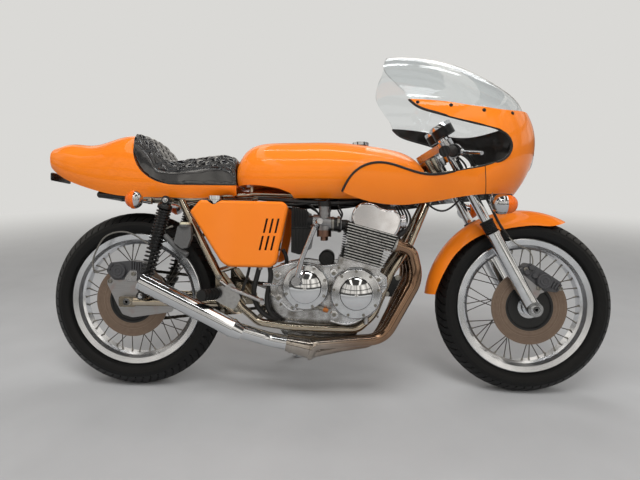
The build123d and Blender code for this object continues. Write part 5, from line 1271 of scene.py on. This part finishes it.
# Footrests
# Hangers and pedals of polished alloy with ribbed black rubber on the pegs.
tree, place = finish("peg_alloy_and_rubber")
axes = put(tree, "SeparateXYZ", {0: place}).outputs
outward = put(tree, "Math", {0: axes["Y"]}, operation="ABSOLUTE").outputs[0]
peg = where_all(tree, (outward, "GREATER_THAN", 153.0), (axes["X"], "LESS_THAN", 357.0),
                (axes["Z"], "LESS_THAN", 392.0))
haze, alloy = two_tone(tree, place, 12, 6.0, "#D8D8D8", "#A6A6A7")
colour = put(tree, "Mix", {0: peg, 6: alloy, 7: linear("#121212")}, data_type="RGBA").outputs[2]
metal = put(tree, "Math", {0: 1.0, 1: peg}, operation="SUBTRACT")
rough = put(tree, "MapRange", {"Value": peg, "To Min": 0.28, "To Max": 0.6})
lay_on(tree, {"Base Color": colour, "Metallic": metal.outputs[0], "Roughness": rough.outputs[0]})
dress("peg_alloy_and_rubber", "footrests")


# Calipers
# Cast calipers painted dark grey; the rear one sits on a plate of sawn, brushed and stained aluminium.
def prism(outline, from_y, to_y):
    """Flat plate across Y between two levels: its (x, z) outline as rings, each end closed to the middle."""
    outline = np.asarray(outline, float)
    centre = np.repeat(outline.mean(axis=0)[None], len(outline), axis=0)
    rings = [np.c_[ring[:, 0], np.full(len(ring), level), ring[:, 1]]
             for ring, level in ((centre, from_y), (outline, from_y), (outline, to_y), (centre, to_y))]
    return grid(np.array(rings), close_columns=True)


tree, place = finish("caliper_grey")
axes = put(tree, "SeparateXYZ", {0: place}).outputs
on_plate = where_all(tree, (axes["Y"], "COMPARE", -83.5, 3.7), (axes["X"], "LESS_THAN", 300.0))
# brushed along X: the noise is drawn out to 50 mm there, 5 mm across and 1.1 mm up
drawn_out = put(tree, "Mapping", {"Vector": place, "Scale": (0.02, 0.2, 0.9)}).outputs[0]
brushed = put(tree, "TexNoise", {"Vector": drawn_out, "Scale": 1.0, "Detail": 5.0}).outputs[0]
stain = put(tree, "TexNoise", {"Vector": place, "Scale": 1 / 38, "Detail": 4.0}).outputs[0]
stain = put(tree, "MapRange", {"Value": stain, "From Min": 0.52, "From Max": 0.75, "To Max": 0.6}).outputs[0]
sheet = put(tree, "Mix", {0: brushed, 6: linear("#BDBDBE"), 7: linear("#98989A")},
            data_type="RGBA").outputs[2]
sheet = put(tree, "Mix", {0: stain, 6: sheet, 7: linear("#A8857A")}, data_type="RGBA").outputs[2]
grain, paint = two_tone(tree, place, 2.2, 3.0, "#3A3A3C", "#58585A")
# the arms of the front one are bare too: they lie below the line 0.8 x + z = 1568
arm_line = put(tree, "VectorMath", {0: place, 1: (0.8, 0, 1)}, operation="DOT_PRODUCT").outputs["Value"]
on_arm = where_all(tree, (arm_line, "LESS_THAN", 1568.0), (axes["X"], "GREATER_THAN", 1300.0))
on_plate = put(tree, "Math", {0: on_plate, 1: on_arm}, operation="MAXIMUM").outputs[0]
colour = put(tree, "Mix", {0: on_plate, 6: paint, 7: sheet}, data_type="RGBA").outputs[2]
metal = put(tree, "MapRange", {"Value": on_plate, "To Min": 0.25, "To Max": 1.0})
bump = put(tree, "Bump", {"Height": grain, "Strength": 0.35, "Distance": 0.0005})
lay_on(tree, {"Base Color": colour, "Metallic": metal.outputs[0], "Roughness": 0.42,
              "Normal": bump.outputs[0]})
dress("caliper_grey", "rear_caliper", "front_caliper")

piston = turned([(0, 4.6), (5, 4.6), (6, 3.0), (10, 3.0), (11, 5.0), (15, 5.0), (16, 2.6), (21, 2.6),
                 (22.5, 4.2), (25.5, 3.4), (26.5, -4), (0, -4)], around=36)
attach(shell("rear_piston_cap", copies(piston, (-38, -102, 434), (0, -1, 0)), "caliper_grey"),
                "chassis")
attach(shell("front_piston_cap", copies(piston, (1482, -104, 417.5), (0, -1, 0)), "caliper_grey"),
                "steering")
caliper_bolt = turned([(0, 3.0), (3.6, 3.0), (4.2, 6.0), (7.2, 6.0), (8, 5.2), (8, -2), (0, -2)], around=18)
rear_bolts = copies(caliper_bolt, [(-76, -87, 396), (16, -98, 424)], (0, -1, 0))
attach(shell("rear_caliper_bolts", rear_bolts, "zinc_steel"), "chassis")
front_bolts = copies(caliper_bolt, [(1420, -94, 458), (1466, -94, 392), (1540, -94, 392)], (0, -1, 0))
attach(shell("front_caliper_bolts", front_bolts, "zinc_steel"), "steering")

# the plate's ear in front of the rear caliper, cooling ribs on both calipers and their pad pins
ear = prism([(-22, 398), (-14, 412), (2, 436), (10, 441), (20, 441), (28, 434), (29, 420), (27, 398)],
            -94, -97.5)
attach(shell("rear_caliper_ear", ear, "buffed_alloy"), "chassis")
rear_ribs = [prism([(x, 436), (x + 2, 469), (x + 5.5, 469), (x + 5.5, 436)], -93, -101)
             for x in (4, 13, 22, 31, 40)]
pad_pin = turned([(0, 5), (4, 5), (5.5, 3), (5.5, -2), (0, -2)], 14)
pad_pins = copies(pad_pin, [(-74, -94, 441), (-66, -94, 455)], (0, -1, 0))
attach(shell("rear_caliper_ribs", joined(*rear_ribs, pad_pins), "caliper_grey"), "chassis")
front_ribs = [prism([(x, z), (x + 13, z + 21), (x + 17, z + 19), (x + 4, z - 3)], -93, -100)
              for x, z in ((1508, 396), (1518, 391), (1528, 386))]
front_knobs = copies(turned([(0, 8), (8, 8), (11, 5), (12, 0), (12, -3), (0, -3)], 24),
                     [(1424, -94, 448), (1440, -94, 464), (1452, -94, 436)], (0, -1, 0))
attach(shell("front_caliper_ribs", joined(*front_ribs, front_knobs), "caliper_grey"), "steering")

# Rear brake cylinder and its lines
# Dark grey body with a cream plastic cap; a braided line loops from the caliper round behind the shock.
tree, place = finish("cylinder_grey")
level = put(tree, "SeparateXYZ", {0: place}).outputs["Z"]
cap = put(tree, "MapRange", {"Value": level, "From Min": 603.5, "From Max": 604.5}).outputs[0]
grain, body = two_tone(tree, place, 5, 4.0, "#6A6A69", "#464646")
colour = put(tree, "Mix", {0: cap, 6: body, 7: linear("#D9D3B8")}, data_type="RGBA").outputs[2]
lay_on(tree, {"Base Color": colour, "Roughness": 0.4})
dress("cylinder_grey", "master_cylinder")

tree, place = finish("braided_line")
weave = put(tree, "TexWave", {"Vector": place, "Scale": 1 / 9, "Distortion": 3.0}, bands_direction="DIAGONAL")
colour = put(tree, "Mix", {0: weave.outputs["Fac"], 6: linear("#A5A39E"), 7: linear("#57544F")},
             data_type="RGBA")
lay_on(tree, {"Base Color": colour.outputs[2], "Metallic": 0.8, "Roughness": 0.4})
brake_line = tube(smooth_line([(-84, -100, 440), (-128, -98, 436), (-134, -97, 473), (-121, -95, 513),
                               (-92, -93, 557), (-55, -91, 574), (-18, -90, 576), (24, -90, 560),
                               (76, -93, 533), (120, -103, 540), (176, -120, 556), (196, -132, 560)], 110),
                  3.0, sides=8)
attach(shell("rear_brake_line", brake_line, "braided_line"), "chassis")

sleeve = tube(smooth_line([(141, -134, 568), (160, -133, 548), (180, -132, 528), (204, -131, 510),
                           (226, -130, 496)], 30),
              np.r_[6.0, np.full(28, 9.5), 6.0], sides=14)
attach(shell("brake_sleeve", sleeve, "cylinder_grey"), "chassis")
banjo_ring = turned([(0, 7), (7.5, 7), (7.5, -7), (0, -7)], 16)
banjo_bolt = turned([(0, 9), (5.4, 9), (6.2, 8), (6.2, 0), (0, 0)], 6)
banjo_neck = tube(smooth_line([(132, -134, 576), (152, -132, 592), (170, -130, 598)], 12), 4.0)
banjo = joined(copies(banjo_ring, (132, -134, 576), (0, 1, 0)),
               copies(banjo_bolt, (132, -140, 576), (0, -1, 0)), banjo_neck)
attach(shell("brake_banjo", banjo, "zinc_steel"), "chassis")

# Fork
# Polished alloy sliders below, chrome stanchions above, with black rubber boots where they meet.
rake = math.radians(28.5)
front_axle = np.array(wheel_centres["front"])
fork_up = np.array([-math.sin(rake), 0, math.cos(rake)])
fork_ahead = np.array([math.cos(rake), 0, math.sin(rake)])


def along_fork(distance, ahead=0.0, side=0.0):
    """Point a distance up the fork from the front axle, moved ahead and to the left."""
    return front_axle + fork_up * distance + fork_ahead * ahead + np.array([0, side, 0])


tree, place = finish("fork_alloy_and_rubber")
up_leg = put(tree, "VectorMath", {0: place, 1: tuple(front_axle)}, operation="SUBTRACT").outputs[0]
up_leg = put(tree, "VectorMath", {0: up_leg, 1: tuple(fork_up)}, operation="DOT_PRODUCT").outputs["Value"]
boot = put(tree, "Math", {0: up_leg, 1: 327.5, 2: 24.5}, operation="COMPARE").outputs[0]
chrome = put(tree, "MapRange", {"Value": up_leg, "From Min": 351.0, "From Max": 353.0}).outputs[0]
haze, buffed = two_tone(tree, place, 40, 2.0, "#E6E8EA", "#CFD1D3")
colour = put(tree, "Mix", {0: boot, 6: buffed, 7: linear("#101010")}, data_type="RGBA").outputs[2]
rough = put(tree, "MapRange", {"Value": haze, "From Min": 0.3, "From Max": 0.7, "To Min": 0.1, "To Max": 0.2})
brighter = put(tree, "MapRange", {"Value": chrome, "To Min": 1.0, "To Max": 0.3}).outputs[0]
rough = put(tree, "Math", {0: rough.outputs[0], 1: brighter}, operation="MULTIPLY").outputs[0]
rough = put(tree, "Mix", {0: boot, 2: rough, 3: 0.5}).outputs[0]
metal = put(tree, "Math", {0: 1.0, 1: boot}, operation="SUBTRACT")
ribs = put(tree, "Math", {0: up_leg, 1: 0.9}, operation="MULTIPLY").outputs[0]
ribs = put(tree, "Math", {0: ribs}, operation="SINE").outputs[0]
ribs = put(tree, "Math", {0: ribs, 1: boot}, operation="MULTIPLY")
bump = put(tree, "Bump", {"Height": ribs.outputs[0], "Strength": 0.8, "Distance": 0.002})
lay_on(tree, {"Base Color": colour, "Metallic": metal.outputs[0], "Roughness": rough,
              "Normal": bump.outputs[0]})
dress("fork_alloy_and_rubber", "fork_legs")

# Front brake hose
# Black rubber hose clipped down the right leg, with a thin steel pipe from its end to the caliper.
hose_route = [(600, 30, -150), (560, 44, -128), (470, 42, -100), (380, 38, -97), (300, 38, -97),
              (262, 44, -97)]
front_hose = tube(smooth_line([along_fork(*spot) for spot in hose_route], 70), 4.6)
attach(shell("front_brake_hose", front_hose, "black_rubber"), "steering")
front_pipe = tube(smooth_line([along_fork(262, 44, -97), along_fork(225, 58, -97), along_fork(185, 84, -96),
                               (1442, -96, 470), (1436, -95, 452)], 50), 2.2, sides=8)
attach(shell("front_brake_pipe", front_pipe, "zinc_steel"), "steering")

# Handlebars
# Chromed clip-on bars with black rubber grips ribbed along their length, and alloy levers.
tree, place = finish("bar_chrome_and_grip")
axes = put(tree, "SeparateXYZ", {0: place}).outputs
outward = put(tree, "Math", {0: axes["Y"]}, operation="ABSOLUTE").outputs[0]
grip = where_all(tree, (outward, "GREATER_THAN", 213.0), (axes["X"], "LESS_THAN", 1152.0))
smudge, bright = two_tone(tree, place, 16, 5.0, "#CBCCCE", "#9FA0A2")
colour = put(tree, "Mix", {0: grip, 6: bright, 7: linear("#161616")}, data_type="RGBA").outputs[2]
metal = put(tree, "Math", {0: 1.0, 1: grip}, operation="SUBTRACT")
rough = put(tree, "MapRange", {"Value": grip, "To Min": 0.16, "To Max": 0.6})
ribs = put(tree, "Math", {0: outward, 1: 1.3}, operation="MULTIPLY").outputs[0]
ribs = put(tree, "Math", {0: ribs}, operation="SINE").outputs[0]
ribs = put(tree, "Math", {0: ribs, 1: grip}, operation="MULTIPLY")
bump = put(tree, "Bump", {"Height": ribs.outputs[0], "Strength": 0.7, "Distance": 0.0015})
lay_on(tree, {"Base Color": colour, "Metallic": metal.outputs[0], "Roughness": rough.outputs[0],
              "Normal": bump.outputs[0]})
dress("bar_chrome_and_grip", "handlebars")


# Dials
# Two round instruments: white marks and plain numbers on black faces, red needles and chrome rings.
def dial_way(angle):
    """Direction on the dials' faces, at an angle from the top: ahead cos a and to the right sin a."""
    return fork_ahead * math.cos(angle) + np.array([0, -1.0, 0]) * math.sin(angle)


for name, speck_size, light, shade, rough in (("dial_black", 2, "#0E0E0F", "#1A1A1B", 0.55),
                                              ("dial_white", 3, "#E9E8E2", "#D5D3CA", 0.5),
                                              ("needle_red", 3, "#D8381F", "#B82A15", 0.5)):
    tree, place = finish(name)
    _, colour = two_tone(tree, place, speck_size, 2.0, light, shade)
    lay_on(tree, {"Base Color": colour, "Roughness": rough})

dial_ahead, dial_y = 30, 46
dial_tops = np.stack([along_fork(728, dial_ahead, side * dial_y) for side in (-1, 1)])
face = turned([(0, 0.9), (35, 0.9), (35, 0.2), (0, 0.2)], around=40)
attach(shell("dial_faces", copies(face, dial_tops, fork_up), "dial_black"), "steering")
ring = turned_ring([(34.5, 0.1), (34.5, 3.6), (36, 5.2), (38.6, 4.6), (39.6, 2.0), (39.6, -9), (39.1, -9),
                    (39.1, 0.1)], 40)
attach(shell("dial_rings", copies(ring, dial_tops, fork_up), "mirror_chrome"), "steering")
dial_sweep, mark_radius, number_radius, number_size = 260, 32, 22.5, 6.2
mark_angle = np.radians(np.linspace(-dial_sweep / 2, dial_sweep / 2, 27))
mark = turned([(0, 0.3), (0.75, 0.3), (0.75, -0.3), (0, -0.3)], around=4)
marks = []
for side in (-1, 1):
    centre = along_fork(729.1, dial_ahead, side * dial_y)
    for number, angle in enumerate(mark_angle):
        long = 5.0 if number % 3 == 0 else 2.6
        bar = (mark[0] * (long / 1.5 * 1.4, 1.0, 1.0), mark[1])
        mark_spot = centre + dial_way(angle) * (mark_radius - long / 2)
        marks.append(copies(bar, mark_spot, fork_up, tuple(dial_way(angle))))
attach(shell("dial_marks", joined(*marks), "dial_white"), "steering")
needles = []
for side, angle in ((-1, -2.1), (1, -2.2)):
    needle_way = dial_way(angle)
    centre = along_fork(729.6, dial_ahead, side * dial_y)
    bar = (mark[0] * (18, 1.2, 1.2), mark[1])
    needles.append(copies(bar, centre + needle_way * 10, fork_up, tuple(needle_way)))
    needles.append(copies(turned([(0, 1.6), (3.2, 1.2), (3.6, 0), (0, 0)], 14), centre, fork_up))
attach(shell("dial_needles", joined(*needles), "needle_red"), "steering")
for side in (-1, 1):
    centre = along_fork(729.2, dial_ahead, side * dial_y)
    for number in range(10):
        angle = math.radians(-dial_sweep / 2 + dial_sweep / 9 * number)
        letters = bpy.data.curves.new("number", "FONT")
        letters.body = str(number)
        letters.size = number_size / 1000
        letters.align_x = "CENTER"
        letters.align_y = "CENTER"
        letters.extrude = 0.0001
        text = bpy.data.objects.new("number", letters)
        flat = bpy.data.meshes.new_from_object(text)
        bpy.data.objects.remove(text)
        spots = read_points(flat) * 1000
        upright_spots = (centre + dial_way(angle) * number_radius + spots[:, :1] * np.array([0, -1.0, 0])
                         + spots[:, 1:2] * fork_ahead + spots[:, 2:] * fork_up)
        write_points(flat, on_bike(upright_spots))
        flat.materials.clear()
        flat.materials.append(bpy.data.materials["dial_white"])
        piece_name = f"dial_number_{'right' if side < 0 else 'left'}_{number}"
        made = bpy.data.objects.new(piece_name, flat)
        bpy.context.collection.objects.link(made)
        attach(made, "steering")

# Cables across the steering
# Throttle cable, clutch cable and the switches' loom, in black sheaths, bend between the bars and the frame.
cable_routes = {
    "throttle_cable": [(1140, -186, 846), (1190, -150, 812), (1195, -96, 770), (1130, -60, 742),
                       (1060, -52, 722), (980, -48, 700)],
    "clutch_cable": [(1140, 186, 846), (1196, 150, 812), (1200, 98, 760), (1140, 62, 720), (1080, 58, 660),
                     (1020, 74, 560), (960, 96, 470)],
    "right_loom": [(1168, -120, 838), (1206, -96, 742), (1175, -62, 686), (1136, -60, 664),
                   (1100, -60, 674), (1070, -56, 704)],
}
for name, route in cable_routes.items():
    cable = shell(name, tube(smooth_line(route, 60), 3.4, sides=8), "black_rubber")
    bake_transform(cable)
